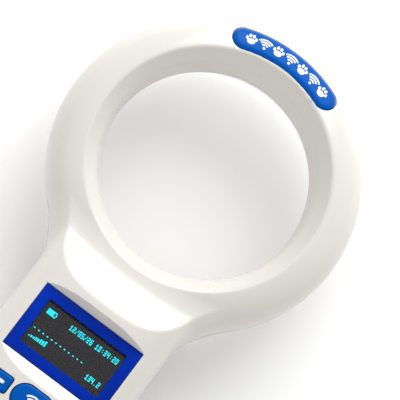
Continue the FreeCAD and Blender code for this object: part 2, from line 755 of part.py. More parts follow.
def board_pieces():
    """The main board and everything soldered to it."""
    top = dim("board_top")
    floor = top - dim("board_depth")
    wide = dim("board_half_width")
    tongue = dim("board_tongue_half")
    board = pad("board_blank", "XY_Plane",
                [(-tongue, dim("board_tail")), (tongue, dim("board_tail")), (tongue, dim("board_shoulder")),
                 (wide, dim("board_shoulder")), (wide, dim("board_front")), (-wide, dim("board_front")),
                 (-wide, dim("board_shoulder")), (-tongue, dim("board_shoulder"))],
                dim("board_depth"), None, floor)
    holes = [rod(f"board_hole_{number}", (across, along, floor - OVERRUN), dim("screw_clearance"),
                 dim("board_depth") + OVERRUN * 2)
             for number, (across, along) in enumerate(BOARD_SCREWS)]
    subpart(cut("main_board", board, fuse("board_holes", *holes)), "main_board")

    # Each chip's place across and along, and its width, length and depth.
    under = {
        "controller_chip": (0, -31, 9, 9, 1.0),
        "reader_chip": (-9.5, -19, 6, 7.5, 1.2),
        "memory_chip": (9, -33, 5, 4, 1.0),
        "charger_chip": (0, -62.5, 4, 4, 1.0),
        "board_crystal": (-9, -31, 3.2, 5, 1.1),
    }
    for name, (across, along, width, length, depth) in under.items():
        subpart(centred_block(name, (across, along, floor - depth), (width, length, depth)), name)
    small = {
        "board_capacitors": [(-12, -40), (-9, -40), (-6, -40), (6, -27), (10, -27), (-4, -24), (13, -38)],
        "board_resistors": [(-12, -44), (-9, -44), (-6, -44), (5, -39), (8, -39), (4, -24), (4, -58)],
    }
    for name, places in small.items():
        chips = [centred_block(f"{name}_{number}", (across, along, floor - CHIP_SIZE[2]), CHIP_SIZE)
                 for number, (across, along) in enumerate(places)]
        subpart(group(name, *chips), name)
    foot = floor - dim("buzzer_depth")
    buzzer = cut("buzzer",
                 rod("buzzer_can", (0, dim("buzzer_middle"), foot), dim("buzzer_radius"),
                     dim("buzzer_depth")),
                 rod("buzzer_throat", (0, dim("buzzer_middle"), foot - OVERRUN), dim("buzzer_mouth"),
                     OVERRUN + dim("buzzer_depth") / 3))
    subpart(buzzer, "buzzer")


def socket_pieces():
    """The charging socket under the board's tail: a drawn steel shell with a tongue inside."""
    mouth = dim("tail_end") + dim("socket_inset")
    width = dim("socket_width")
    height = dim("socket_height")
    length = dim("socket_length")
    wall = dim("socket_wall")
    shell = rounded_block("socket_body", (0, 0), width, height, height / 2 - SLIVER * 2, 0, length)
    hollow = rounded_block("socket_hollow", (0, 0), width - wall * 2, height - wall * 2,
                           height / 2 - wall - SLIVER * 2, 0, length)
    for piece, start in ((shell, mouth + length), (hollow, mouth + length - OVERRUN)):
        piece.Placement = FreeCAD.Placement(FreeCAD.Vector(0, 0, 0),
                                            FreeCAD.Rotation(FreeCAD.Vector(1, 0, 0), 90))
        bind(piece, Placement__Base__y=start, Placement__Base__z=SOCKET_MIDDLE)
    subpart(cut("charge_socket", shell, hollow), "charge_socket")
    tongue = block("socket_tongue",
                   (-dim("tongue_width") / 2, mouth + OVERRUN, SOCKET_MIDDLE - dim("tongue_depth") / 2),
                   (dim("tongue_width"), dim("tongue_length"), dim("tongue_depth")))
    subpart(tongue, "socket_tongue")


def tube(name, points, radius):
    """A lead as one solid: straight runs joined by tangent arcs as large as the runs allow."""
    spots = [FreeCAD.Vector(*point) for point in points]
    edges = []
    last = spots[0]
    for before, corner, after in zip(spots, spots[1:], spots[2:]):
        inward = (corner - before).normalize()
        outward = (after - corner).normalize()
        half_turn = inward.getAngle(outward) / 2
        trim = 0.45 * min((corner - before).Length, (after - corner).Length)
        bend = trim / math.tan(half_turn)
        start = corner - inward * trim
        end = corner + outward * trim
        inside = (outward - inward).normalize()
        middle = corner + inside * (bend / math.cos(half_turn) - bend)
        edges.append(Part.LineSegment(last, start).toShape())
        edges.append(Part.Arc(start, middle, end).toShape())
        last = end
    edges.append(Part.LineSegment(last, spots[-1]).toShape())
    path = Part.Wire(edges)
    ring = Part.Wire([Part.Circle(spots[0], spots[1] - spots[0], radius).toShape()])
    lead = doc.addObject("Part::Feature", name)
    lead.Shape = path.makePipeShell([ring], True, False)
    return lead


def lead_pair(label, points, radius, apart):
    """Two like leads side by side, the second moved across by the distance given."""
    pair = []
    for number in range(2):
        moved = [(x + apart[0] * number, y + apart[1] * number, z) for x, y, z in points]
        pair.append(tube(f"{label}_{number}", moved, radius))
    subpart(group(label, *pair), label)


def header_and_plug(name, middle):
    """A header under the board and the plug in it; returns the height of the plug's lead end."""
    under = dim("board_top") - dim("board_depth")
    seat = under - dim("header_depth")
    trim = dim("plug_inset") * 2
    subpart(centred_block(f"{name}_header", (*middle, seat),
                          (dim("header_width"), dim("header_length"), dim("header_depth"))),
            f"{name}_header")
    subpart(centred_block(f"{name}_plug", (*middle, seat - dim("plug_depth")),
                          (dim("header_width") - trim, dim("header_length") - trim, dim("plug_depth"))),
            f"{name}_plug")
    return (seat - dim("plug_depth")).number


def battery_pieces():
    """The flat battery cell on its foam pad, and its two leads up to the plug on the board."""
    pad_floor = dim("battery_floor") - dim("pad_depth")
    middle = dim("battery_middle")
    subpart(rounded_block("battery_cell", (0, middle), dim("battery_width"), dim("battery_length"),
                          dim("battery_corner"), dim("battery_floor"), dim("battery_depth")),
            "battery_cell")
    subpart(centred_block("battery_pad", (0, middle, pad_floor),
                          (dim("pad_width"), dim("pad_length"), dim("pad_depth"))), "battery_pad")
    header = (10.5, -13.0)
    plug_floor = header_and_plug("battery", header)
    cell_end = middle.number + dim("battery_length").number / 2
    lead_height = dim("battery_floor").number + 4.5
    lead_pair("battery_leads", [(9.7, cell_end, lead_height), (9.7, cell_end + 3.4, lead_height),
                                (9.7, header[1], lead_height + 4.2), (9.7, header[1], plug_floor)],
              0.55, (1.6, 0))


def coil_pieces():
    """The reading coil on its former in the ring, with two leads to a plug on the board."""
    inner = dim("former_inner")
    outer = dim("former_outer")
    low = MIDDLE - dim("former_half")
    high = MIDDLE + dim("former_half")
    wall = dim("former_wall")
    side = dim("coil_side")
    subpart(revolve("coil_former", [
        (inner, low), (outer, low), (outer, low + wall), (inner + wall, low + wall),
        (inner + wall, high - wall), (outer, high - wall), (outer, high), (inner, high)],
        None, dim("ring_middle")), "coil_former")
    subpart(revolve("antenna_coil", [
        (inner + wall, low + wall + side), (inner + wall + dim("coil_depth"), low + wall + side),
        (inner + wall + dim("coil_depth"), high - wall - side), (inner + wall, high - wall - side)],
        None, dim("ring_middle")), "antenna_coil")
    header = (-9.2, -10.5)
    plug_floor = header_and_plug("coil", header)
    coil_y = dim("ring_middle").number - (inner + wall + dim("coil_depth")).number - 0.45
    lead_pair("coil_leads", [(-9.9, header[1], plug_floor), (-9.9, header[1], plug_floor - 4.5),
                             (-6.5, header[1] + 7, plug_floor - 4.5), (-3.4, coil_y - 2.4, MIDDLE.number),
                             (-0.9, coil_y, MIDDLE.number)], 0.4, (1.4, 0))


def screw_group(label, screws, shank):
    """Like screws in one node, heads down; each entry holds the place of the seat above the head."""
    pieces = []
    for number, (across, along, seat) in enumerate(screws):
        head_floor = seat - dim("head_depth")
        head = rod(f"{label}_head_{number}", (across, along, head_floor), dim("head_radius"),
                   dim("head_depth"))
        stem = rod(f"{label}_stem_{number}", (across, along, seat), dim("screw_radius"), shank)
        slot = centred_block(f"{label}_slot_{number}", (across, along, head_floor - OVERRUN),
                             (dim("slot_length"), dim("slot_width"), OVERRUN + dim("slot_depth")))
        pieces.append(cut(f"{label}_{number}", fuse(f"{label}_blank_{number}", head, stem), slot))
    subpart(group(label, *pieces), label)


def screws():
    """Case screws driven from behind, and board screws driven from under the board."""
    screw_group("case_screws", [(across, along, HEAD_SEATS[along]) for across, along in CASE_SCREWS],
                dim("case_shank"))
    seat = dim("board_top") - dim("board_depth")
    screw_group("board_screws", [(across, along, seat) for across, along in BOARD_SCREWS],
                dim("board_shank"))


front_cover()
rear_cover()
trim_pieces()
display_pieces()
key_pieces()
board_pieces()
socket_pieces()
battery_pieces()
coil_pieces()
screws()
doc.recompute()

for thing in doc.Objects:
    if any(state in ("Invalid", "Error") for state in thing.State):
        raise RuntimeError(f"{thing.Name} failed to build: {thing.State}")
os.makedirs("parts", exist_ok=True)
for label, thing in SUBPARTS:
    shape = thing.Shape
    if shape.isNull() or not shape.isValid() or not shape.Solids:
        raise RuntimeError(f"{label} has no valid solid")
    shape.exportStep(f"parts/{label}.step")
    box = shape.optimalBoundingBox()
    print(f"{label}: {len(shape.Solids)} solid(s), {shape.Volume:.1f} mm3, x {box.XMin:.2f} {box.XMax:.2f},"
          f" y {box.YMin:.2f} {box.YMax:.2f}, z {box.ZMin:.2f} {box.ZMax:.2f}")
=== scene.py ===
"""The looks of a hand-held microchip scanner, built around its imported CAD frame.

Shapes are worked out in millimetres and turned into metres where a mesh is made.
"""
import json
import math

import bmesh
import bpy
import numpy as np
from bpy.props import FloatProperty, FloatVectorProperty, PointerProperty
from mathutils import Matrix, Vector


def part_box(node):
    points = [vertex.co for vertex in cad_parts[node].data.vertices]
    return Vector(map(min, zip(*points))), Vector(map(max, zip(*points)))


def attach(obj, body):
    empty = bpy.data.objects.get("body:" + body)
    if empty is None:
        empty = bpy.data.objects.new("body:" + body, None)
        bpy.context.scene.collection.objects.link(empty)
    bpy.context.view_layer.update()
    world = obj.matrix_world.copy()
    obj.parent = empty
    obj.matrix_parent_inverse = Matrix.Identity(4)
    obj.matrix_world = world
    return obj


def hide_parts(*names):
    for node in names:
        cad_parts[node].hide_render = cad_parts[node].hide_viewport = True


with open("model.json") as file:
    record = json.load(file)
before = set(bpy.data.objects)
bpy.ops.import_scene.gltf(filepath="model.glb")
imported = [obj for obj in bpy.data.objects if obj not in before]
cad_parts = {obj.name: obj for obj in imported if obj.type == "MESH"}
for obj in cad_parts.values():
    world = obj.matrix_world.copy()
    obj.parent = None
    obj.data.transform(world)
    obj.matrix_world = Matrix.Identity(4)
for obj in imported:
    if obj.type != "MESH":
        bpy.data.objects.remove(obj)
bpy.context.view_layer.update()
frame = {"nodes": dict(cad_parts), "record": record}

bl_info = {
    "name": "Microchip Scanner",
    "version": (1, 0, 0),
    "blender": (4, 5, 0),
    "location": "3D View > Sidebar > Scanner",
    "description": "Covers, keys, display and finishes of a hand-held ring reader",
    "category": "Object",
}

MM = 0.001
CASE = "case"


def box_mm(node):
    """Lowest and highest corner of a CAD node, in millimetres."""
    low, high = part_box(node)
    return np.array(low) / MM, np.array(high) / MM


def middle_mm(node):
    low, high = box_mm(node)
    return (low + high) / 2


# Keeps the meshed skin inside the covers' own box.
SKIN_INSET = 0.03
COVER_LOW, COVER_HIGH = box_mm("front_cover")
PARTING = COVER_LOW[2]
CASE_HALF_DEPTH = COVER_HIGH[2] - PARTING - SKIN_INSET
RING_RADIUS = COVER_HIGH[0] - SKIN_INSET
RING_MIDDLE = middle_mm("antenna_coil")[1]
TAIL_END = COVER_LOW[1] + SKIN_INSET
BADGE_ROUND = 3.45


class ScannerCase(bpy.types.PropertyGroup):
    """Sizes of the ring and the handle, in millimetres."""
    ring_half_depth: FloatProperty(
        name="Ring half depth", description="Half of the ring's thickness at its inner lip", default=9.5)
    lip_radius: FloatProperty(
        name="Lip radius", description="Where the ring's face turns down into its hole", default=31.9)
    ring_crown: FloatProperty(
        name="Ring crown", description="Exponent of the ring's rounded face; 2 is an ellipse", default=2.15)
    crown_lead: FloatProperty(
        name="Crown lead", description="How far inside the lip the face's crown begins", default=3.4)
    cone_radius: FloatProperty(
        name="Cone radius", description="Where the hole's flare turns into its throat", default=28.4)
    cone_half: FloatProperty(
        name="Cone half depth", description="Height of that change from mid depth", default=5.2)
    hole_radius: FloatProperty(
        name="Hole radius", description="The ring's hole at mid depth", default=27.4)
    handle_half_width: FloatProperty(
        name="Handle half width", description="Half of the handle's width", default=20.7)
    crown: FloatProperty(
        name="Crown", description="Exponent of the handle's rounded section; 2 is an ellipse", default=3.0)
    neck_round: FloatProperty(
        name="Neck round", description="Reach of the hollow round between ring and handle", default=7.2)
    ramp_top: FloatProperty(
        name="Ramp top", description="Where the ramp meets the handle's crown", default=-9.2)
    ramp_foot: FloatProperty(
        name="Ramp foot", description="Where the ramp meets the ring's face", default=1.4)
    belly_ramp_top: FloatProperty(
        name="Belly ramp top", description="Where the flat belly ends behind", default=-1.5)
    tail_round: FloatProperty(
        name="Tail round", description="Length over which the tail rounds off", default=15.0)
    wall: FloatProperty(name="Wall", description="Thickness of the moulded wall", default=1.9)
    seam: FloatProperty(name="Seam", description="Width of the line between the covers", default=0.3)
    mesh_step: FloatProperty(name="Mesh step", description="Spacing of the covers' mesh", default=0.62)


class ScannerFace(bpy.types.PropertyGroup):
    """Sizes of what sits in the face: pocket, window, keys and badge, in millimetres."""
    pocket_ring_end: FloatProperty(
        name="Pocket ring end", description="Length of the pocket's slope on the ring's side", default=1.7)
    pocket_tail_end: FloatProperty(
        name="Pocket tail end", description="Length of the pocket's slope on the keys' side", default=3.4)
    window_clear_width: FloatProperty(
        name="Clear width", description="Width of the window's unprinted middle", default=23.8)
    window_clear_height: FloatProperty(
        name="Clear height", description="Height of the window's unprinted middle", default=12.8)
    key_gap: FloatProperty(name="Key gap", description="Gap round each key", default=0.2)
    key_proud: FloatProperty(name="Key height", description="How far keys stand out", default=0.4)
    badge_proud: FloatProperty(name="Badge height", description="How far the badge stands out", default=0.4)
    badge_sunk: FloatProperty(name="Badge seat", description="Depth of the badge's seat", default=1.2)
    dot_pitch: FloatProperty(name="Dot pitch", description="Spacing of dots along a row", default=0.22)
    row_pitch: FloatProperty(name="Row pitch", description="Spacing of the rows of dots", default=0.3)


class ScannerColours(bpy.types.PropertyGroup):
    """Base colours of the outer finishes."""
    case_white: FloatVectorProperty(
        name="Case", description="Warm white of the covers", subtype="COLOR", default=(0.72, 0.695, 0.65))
    key_blue: FloatVectorProperty(
        name="Keys", description="Blue of keys and badge", subtype="COLOR", default=(0.0, 0.088, 0.42))
    border_blue: FloatVectorProperty(
        name="Border", description="Blue printed round the display", subtype="COLOR",
        default=(0.001, 0.026, 0.37))
    glow: FloatVectorProperty(
        name="Display", description="Light of the display's dots", subtype="COLOR",
        default=(0.0, 0.82, 0.95))


# ---------------------------------------------------------------- forms as fields
# A field is a function of x, y, z in millimetres. It is negative inside the form and close to the
# distance from its skin elsewhere, so forms join, cut and thicken by simple arithmetic.

def smooth_max(first, second, blend):
    """The overlap of two forms with the edge between them eased."""
    ease = np.maximum(blend - np.abs(first - second), 0) / blend
    return np.maximum(first, second) + ease * ease * blend / 4


def round_union(first, second, radius):
    """Two forms joined with a hollow round between them."""
    inward_first = np.maximum(radius - first, 0)
    inward_second = np.maximum(radius - second, 0)
    joined = np.maximum(radius, np.minimum(first, second))
    return joined - np.sqrt(inward_first ** 2 + inward_second ** 2)


def rounded_plan(x, y, middle, half_width, half_height, corner):
    """A rounded rectangle in plan."""
    across = np.abs(x - middle[0]) - (half_width - corner)
    along = np.abs(y - middle[1]) - (half_height - corner)
    outside = np.sqrt(np.maximum(across, 0) ** 2 + np.maximum(along, 0) ** 2)
    return outside + np.minimum(np.maximum(across, along), 0) - corner


def upright_rod(x, y, middle, radius):
    return np.hypot(x - middle[0], y - middle[1]) - radius


def ring_profile(sizes, reach, height):
    """The ring's outside in section: a face that falls away from the lip and rounds to the side."""
    power = sizes.ring_crown
    start = sizes.lip_radius - sizes.crown_lead
    run = RING_RADIUS - start
    tall = (sizes.ring_half_depth + 0.02) / (1 - (sizes.crown_lead / run) ** power) ** (1 / power)
    outward = np.maximum(reach - start, 0) / run
    depth = np.abs(height) / tall
    bulge = (outward ** power + depth ** power) ** (1 / power)
    lean = np.hypot(outward ** (power - 1) / run, depth ** (power - 1) / tall)
    lean = lean / np.maximum(bulge, 0.001) ** (power - 1)
    return (bulge - 1) / np.maximum(lean, 0.4 / run)


def ring_skin(sizes, x, y, z):
    return ring_profile(sizes, np.hypot(x, y - RING_MIDDLE), z - PARTING)


def spot_on_ring(sizes, x, y, z, step=0.02):
    """The plan place of the spot on the ring's face that lies straight under or over a point."""
    reach, height = np.maximum(np.hypot(x, y - RING_MIDDLE), 1), z - PARTING
    ahead = ring_profile(sizes, reach + step, height)
    lean = (ahead - ring_profile(sizes, reach - step, height)) / (2 * step)
    share = 1 - ring_profile(sizes, reach, height) * lean / reach
    return x * share, RING_MIDDLE + (y - RING_MIDDLE) * share


def ring_hole(sizes, x, y, z):
    """Negative where the hole leaves material standing: a cone inside the lip, then a steeper throat."""
    depth = np.abs(z - PARTING)
    reach = np.hypot(x, y - RING_MIDDLE)
    flare = (sizes.lip_radius - sizes.cone_radius) / (sizes.ring_half_depth - sizes.cone_half)
    cone = (sizes.cone_radius + flare * (depth - sizes.cone_half) - reach) / math.hypot(1, flare)
    steep = (sizes.cone_radius - sizes.hole_radius) / sizes.cone_half
    throat = (sizes.hole_radius + steep * depth - reach) / math.hypot(1, steep)
    return smooth_max(cone, throat, 0.7)


def handle_skin(sizes, x, y, z):
    """The handle: a crowned section that closes at the tail, with a ramp to the ring on each face."""
    height = z - PARTING
    crown = sizes.crown
    tail_start = TAIL_END + sizes.tail_round
    tail = np.maximum(tail_start - y, 0) / sizes.tail_round
    side = np.abs(x) / sizes.handle_half_width
    belly_depth = CASE_HALF_DEPTH + 0.45
    depth = np.abs(height) / np.where(height > 0, CASE_HALF_DEPTH, belly_depth)
    section = (side ** crown + depth ** crown + tail ** 2.6) ** (1 / crown)
    skin = (section - 1) * sizes.handle_half_width * 0.85
    skin = smooth_max(skin, -height - CASE_HALF_DEPTH, 0.3)
    rise = CASE_HALF_DEPTH - sizes.ring_half_depth
    for direction, top in ((1, sizes.ramp_top), (-1, sizes.belly_ramp_top)):
        slope = rise / (sizes.ramp_foot - top)
        ramp = direction * height - sizes.ring_half_depth - slope * (sizes.ramp_foot - y)
        skin = smooth_max(skin, ramp / math.hypot(1, slope), 0.45)
    return skin


def case_skin(sizes, x, y, z):
    """The whole case's outside, hole included, with the neck's hollow rounds."""
    height = np.abs(z - PARTING)
    fade = np.clip((sizes.ring_half_depth + 0.5 - height) / 6.5, 0, 1)
    neck = 3.2 + (sizes.neck_round - 3.2) * fade * fade * (3 - 2 * fade)
    body = round_union(ring_skin(sizes, x, y, z), handle_skin(sizes, x, y, z), neck)
    return smooth_max(body, ring_hole(sizes, x, y, z), 0.5)


# ---------------------------------------------------------------- fields to meshes

def slope_of(field, points, step=0.02):
    """Unit outward normals of a field at points."""
    slope = np.empty_like(points)
    for axis in range(3):
        ahead = points.copy()
        behind = points.copy()
        ahead[:, axis] += step
        behind[:, axis] -= step
        slope[:, axis] = field(*ahead.T) - field(*behind.T)
    return slope / np.maximum(np.linalg.norm(slope, axis=1, keepdims=True), 1e-9)


def crossings(field, values, low, step, axis):
    """Points where the field changes sign along one axis of the grid, with the edges they lie on."""
    near = [slice(None)] * 3
    far = [slice(None)] * 3
    near[axis] = slice(None, -1)
    far[axis] = slice(1, None)
    first, second = values[tuple(near)], values[tuple(far)]
    edges = np.argwhere((first < 0) != (second < 0))
    value_near = first[tuple(edges.T)].astype(float)
    value_far = second[tuple(edges.T)].astype(float)
    start = low + edges * step
    share_low, share_high = np.zeros(len(edges)), np.ones(len(edges))
    points = start.copy()
    inside_first = value_near < 0
    share = value_near / (value_near - value_far)
    for _ in range(6):
        points[:, axis] = start[:, axis] + share * step
        here = field(*points.T) < 0
        share_low = np.where(here == inside_first, share, share_low)
        share_high = np.where(here == inside_first, share_high, share)
        share = (share_low + share_high) / 2
    points[:, axis] = start[:, axis] + share * step
    return edges, points, inside_first


def contour(field, low, high, step):
    """Mesh a field's skin with one vertex per crossed cell, set on the edges and corners it finds there."""
    low = np.array(low, float)
    counts = np.ceil((np.array(high) - low) / step).astype(int) + 1
    axes = [low[axis] + step * np.arange(counts[axis]) for axis in range(3)]
    values = field(*np.meshgrid(*axes, indexing="ij"))
    cell_counts = counts - 1
    cell_ids, planes, points, faces = [], [], [], []
    for axis in range(3):
        edges, crossing, inside_first = crossings(field, values, low, step, axis)
        others = [other for other in range(3) if other != axis]
        kept = np.ones(len(edges), bool)
        for other in others:
            kept &= (edges[:, other] > 0) & (edges[:, other] < counts[other] - 1)
        edges, crossing, inside_first = edges[kept], crossing[kept], inside_first[kept]
        normals = slope_of(field, crossing)
        corners = []
        for back_one, back_two in ((1, 1), (0, 1), (0, 0), (1, 0)):
            cell = edges.copy()
            cell[:, others[0]] -= back_one
            cell[:, others[1]] -= back_two
            corners.append(np.ravel_multi_index(cell.T, cell_counts))
            cell_ids.append(corners[-1])
            planes.append(normals)
            points.append(crossing)
        quad = np.stack(corners, axis=1)
        flip = inside_first if axis == 1 else ~inside_first
        quad[flip] = quad[flip][:, ::-1]
        faces.append(quad)
    ids, index = np.unique(np.concatenate(cell_ids), return_inverse=True)
    planes, points = np.concatenate(planes), np.concatenate(points)
    count = len(ids)
    share = np.bincount(index, minlength=count)
    mean = np.stack([np.bincount(index, points[:, k], count) / share for k in range(3)], axis=1)
    offset = np.einsum("ij,ij->i", planes, points - mean[index])
    matrix = np.empty((count, 3, 3))
    right = np.empty((count, 3))
    for row in range(3):
        right[:, row] = np.bincount(index, planes[:, row] * offset, count)
        for column in range(3):
            matrix[:, row, column] = np.bincount(index, planes[:, row] * planes[:, column], count)
    spread, frame_axes = np.linalg.eigh(matrix)
    strength = np.where(spread > 0.08 * spread[:, 2:], 1 / np.maximum(spread, 1e-9), 0)
    shift = np.einsum("nij,nj,nkj,nk->ni", frame_axes, strength, frame_axes, right)
    cells = np.stack(np.unravel_index(ids, cell_counts), axis=1)
    floor = low + (cells - 0.05) * step
    vertices = np.clip(mean + shift, floor, floor + 1.1 * step)
    lookup = np.searchsorted(ids, np.concatenate(faces))
    return vertices, lookup


def mesh_object(name, vertices, faces, angle=32):
    """A smooth-shaded mesh object from millimetres, with its sharp edges marked by angle."""
    mesh = bpy.data.meshes.new(name)
    mesh.from_pydata((np.asarray(vertices) * MM).tolist(), [], [list(map(int, face)) for face in faces])
    mesh.validate()
    piece = bpy.data.objects.new(name, mesh)
    bpy.context.collection.objects.link(piece)
    mesh.polygons.foreach_set("use_smooth", [True] * len(mesh.polygons))
    mesh.set_sharp_from_angle(angle=math.radians(angle))
    return piece


def shade_from_field(mesh, field):
    """Give each corner the field's own normal, from a little way into the face at a sharp edge."""
    spots = np.empty(len(mesh.vertices) * 3)
    mesh.vertices.foreach_get("co", spots)
    spots = spots.reshape(-1, 3) / MM
    centres = np.empty(len(mesh.polygons) * 3)
    mesh.polygons.foreach_get("center", centres)
    centres = centres.reshape(-1, 3) / MM
    corners = np.empty(len(mesh.loops), int)
    mesh.loops.foreach_get("vertex_index", corners)
    sides = np.empty(len(mesh.polygons), int)
    mesh.polygons.foreach_get("loop_total", sides)
    centre_of = np.repeat(centres, sides, axis=0)
    inward = spots[corners] * 0.7 + centre_of * 0.3
    normals = slope_of(field, inward)
    smooth = slope_of(field, spots)[corners]
    alike = (normals * smooth).sum(axis=1) > 0.96
    mesh.normals_split_custom_set(np.where(alike[:, None], smooth, normals).tolist())


def fielded(name, field, low, high, step):
    """A finished piece from its field."""
    vertices, faces = contour(field, low, high, step)
    piece = mesh_object(name, vertices, faces)
    shade_from_field(piece.data, field)
    return piece


# ---------------------------------------------------------------- finishes

def new_material(name, colour, roughness, metallic=0.0, coat=0.0, specular=0.5):
    """A material with its constant values on the shader's own sockets."""
    material = bpy.data.materials.new(name)
    material.use_nodes = True
    shader = material.node_tree.nodes["Principled BSDF"]
    shader.inputs["Base Color"].default_value = (*colour, 1)
    shader.inputs["Roughness"].default_value = roughness
    shader.inputs["Metallic"].default_value = metallic
    shader.inputs["Coat Weight"].default_value = coat
    shader.inputs["Coat Roughness"].default_value = 0.06
    shader.inputs["Specular IOR Level"].default_value = specular
    return material, shader


def noise(material, scale, detail=3.0, stretch=(1, 1, 1)):
    """Noise on Object coordinates; the scale is in waves per metre."""
    nodes, links = material.node_tree.nodes, material.node_tree.links
    place = nodes.new("ShaderNodeTexCoord")
    mapping = nodes.new("ShaderNodeMapping")
    mapping.inputs["Scale"].default_value = stretch
    texture = nodes.new("ShaderNodeTexNoise")
    texture.inputs["Scale"].default_value = scale
    texture.inputs["Detail"].default_value = detail
    links.new(place.outputs["Object"], mapping.inputs["Vector"])
    links.new(mapping.outputs["Vector"], texture.inputs["Vector"])
    return texture.outputs["Fac"]


def shade_between(material, factor, low, high):
    """A value or colour that runs between two stops as the factor rises."""
    ramp = material.node_tree.nodes.new("ShaderNodeValToRGB")
    ramp.color_ramp.elements[0].position = 0.3
    ramp.color_ramp.elements[1].position = 0.7
    for element, value in zip(ramp.color_ramp.elements, (low, high)):
        element.color = (*value, 1) if isinstance(value, tuple) else (value, value, value, 1)
    material.node_tree.links.new(factor, ramp.inputs["Fac"])
    return ramp.outputs["Color"]


def add_bump(material, shader, factor, height):
    """Fine relief of the given height in millimetres."""
    bump = material.node_tree.nodes.new("ShaderNodeBump")
    bump.inputs["Distance"].default_value = height * MM
    bump.inputs["Strength"].default_value = 1
    material.node_tree.links.new(factor, bump.inputs["Height"])
    material.node_tree.links.new(bump.outputs["Normal"], shader.inputs["Normal"])


def tinted(colour, amount):
    return tuple(min(max(part * amount, 0), 1) for part in colour)


def moulded(name, colour, roughness, grain, relief, coat=0.0, mottle=0.03, specular=0.5):
    """Moulded plastic: faint flow mottle, a change of gloss and the mould's fine grain."""
    material, shader = new_material(name, colour, roughness, coat=coat, specular=specular)
    flow = noise(material, 55, 2.0)
    material.node_tree.links.new(
        shade_between(material, flow, tinted(colour, 1 - mottle), tinted(colour, 1 + mottle)),
        shader.inputs["Base Color"])
    gloss = noise(material, 90, 0.5)
    material.node_tree.links.new(
        shade_between(material, gloss, roughness * 0.97, roughness * 1.03), shader.inputs["Roughness"])
    add_bump(material, shader, noise(material, grain, 2.0), relief)
    return material


def worked_metal(name, colour, roughness, stretch=(1, 1, 1), grain=2600):
    """Sheet or turned metal with fine drawn lines."""
    material, shader = new_material(name, colour, roughness, metallic=1.0)
    lines = noise(material, grain, 3.0, stretch)
    material.node_tree.links.new(
        shade_between(material, lines, roughness * 0.75, roughness * 1.35), shader.inputs["Roughness"])
    material.node_tree.links.new(
        shade_between(material, noise(material, 300, 3.0), tinted(colour, 0.9), tinted(colour, 1.05)),
        shader.inputs["Base Color"])
    add_bump(material, shader, lines, 0.004)
    return material


def glowing(name, colour, strength):
    """Lit dots: their light falls off a little from place to place."""
    material, shader = new_material(name, colour, 0.4)
    shader.inputs["Emission Color"].default_value = (*colour, 1)
    material.node_tree.links.new(
        shade_between(material, noise(material, 900, 1.0), tinted(colour, 0.85), tinted(colour, 1.0)),
        shader.inputs["Base Color"])
    shader.inputs["Emission Strength"].default_value = strength
    return material


def clear_plate(name):
    """The window's clear middle: nearly invisible, with the gloss of acrylic."""
    material, shader = new_material(name, (0.02, 0.025, 0.03), 0.04)
    shader.inputs["Alpha"].default_value = 0.14
    material.node_tree.links.new(
        shade_between(material, noise(material, 200, 2.0), 0.03, 0.07), shader.inputs["Roughness"])
    return material


def board_green(name):
    """Solder mask with the faint relief of copper tracks under it."""
    material, shader = new_material(name, (0.008, 0.13, 0.05), 0.32, coat=0.3)
    nodes, links = material.node_tree.nodes, material.node_tree.links
    place = nodes.new("ShaderNodeTexCoord")
    tracks = nodes.new("ShaderNodeTexBrick")
    tracks.inputs["Scale"].default_value = 420
    tracks.inputs["Mortar Size"].default_value = 0.08
    tracks.inputs["Color1"].default_value = (0.008, 0.12, 0.045, 1)
    tracks.inputs["Color2"].default_value = (0.012, 0.17, 0.07, 1)
    tracks.inputs["Mortar"].default_value = (0.02, 0.24, 0.1, 1)
    links.new(place.outputs["Object"], tracks.inputs["Vector"])
    links.new(tracks.outputs["Color"], shader.inputs["Base Color"])
    add_bump(material, shader, tracks.outputs["Fac"], 0.03)
    return material


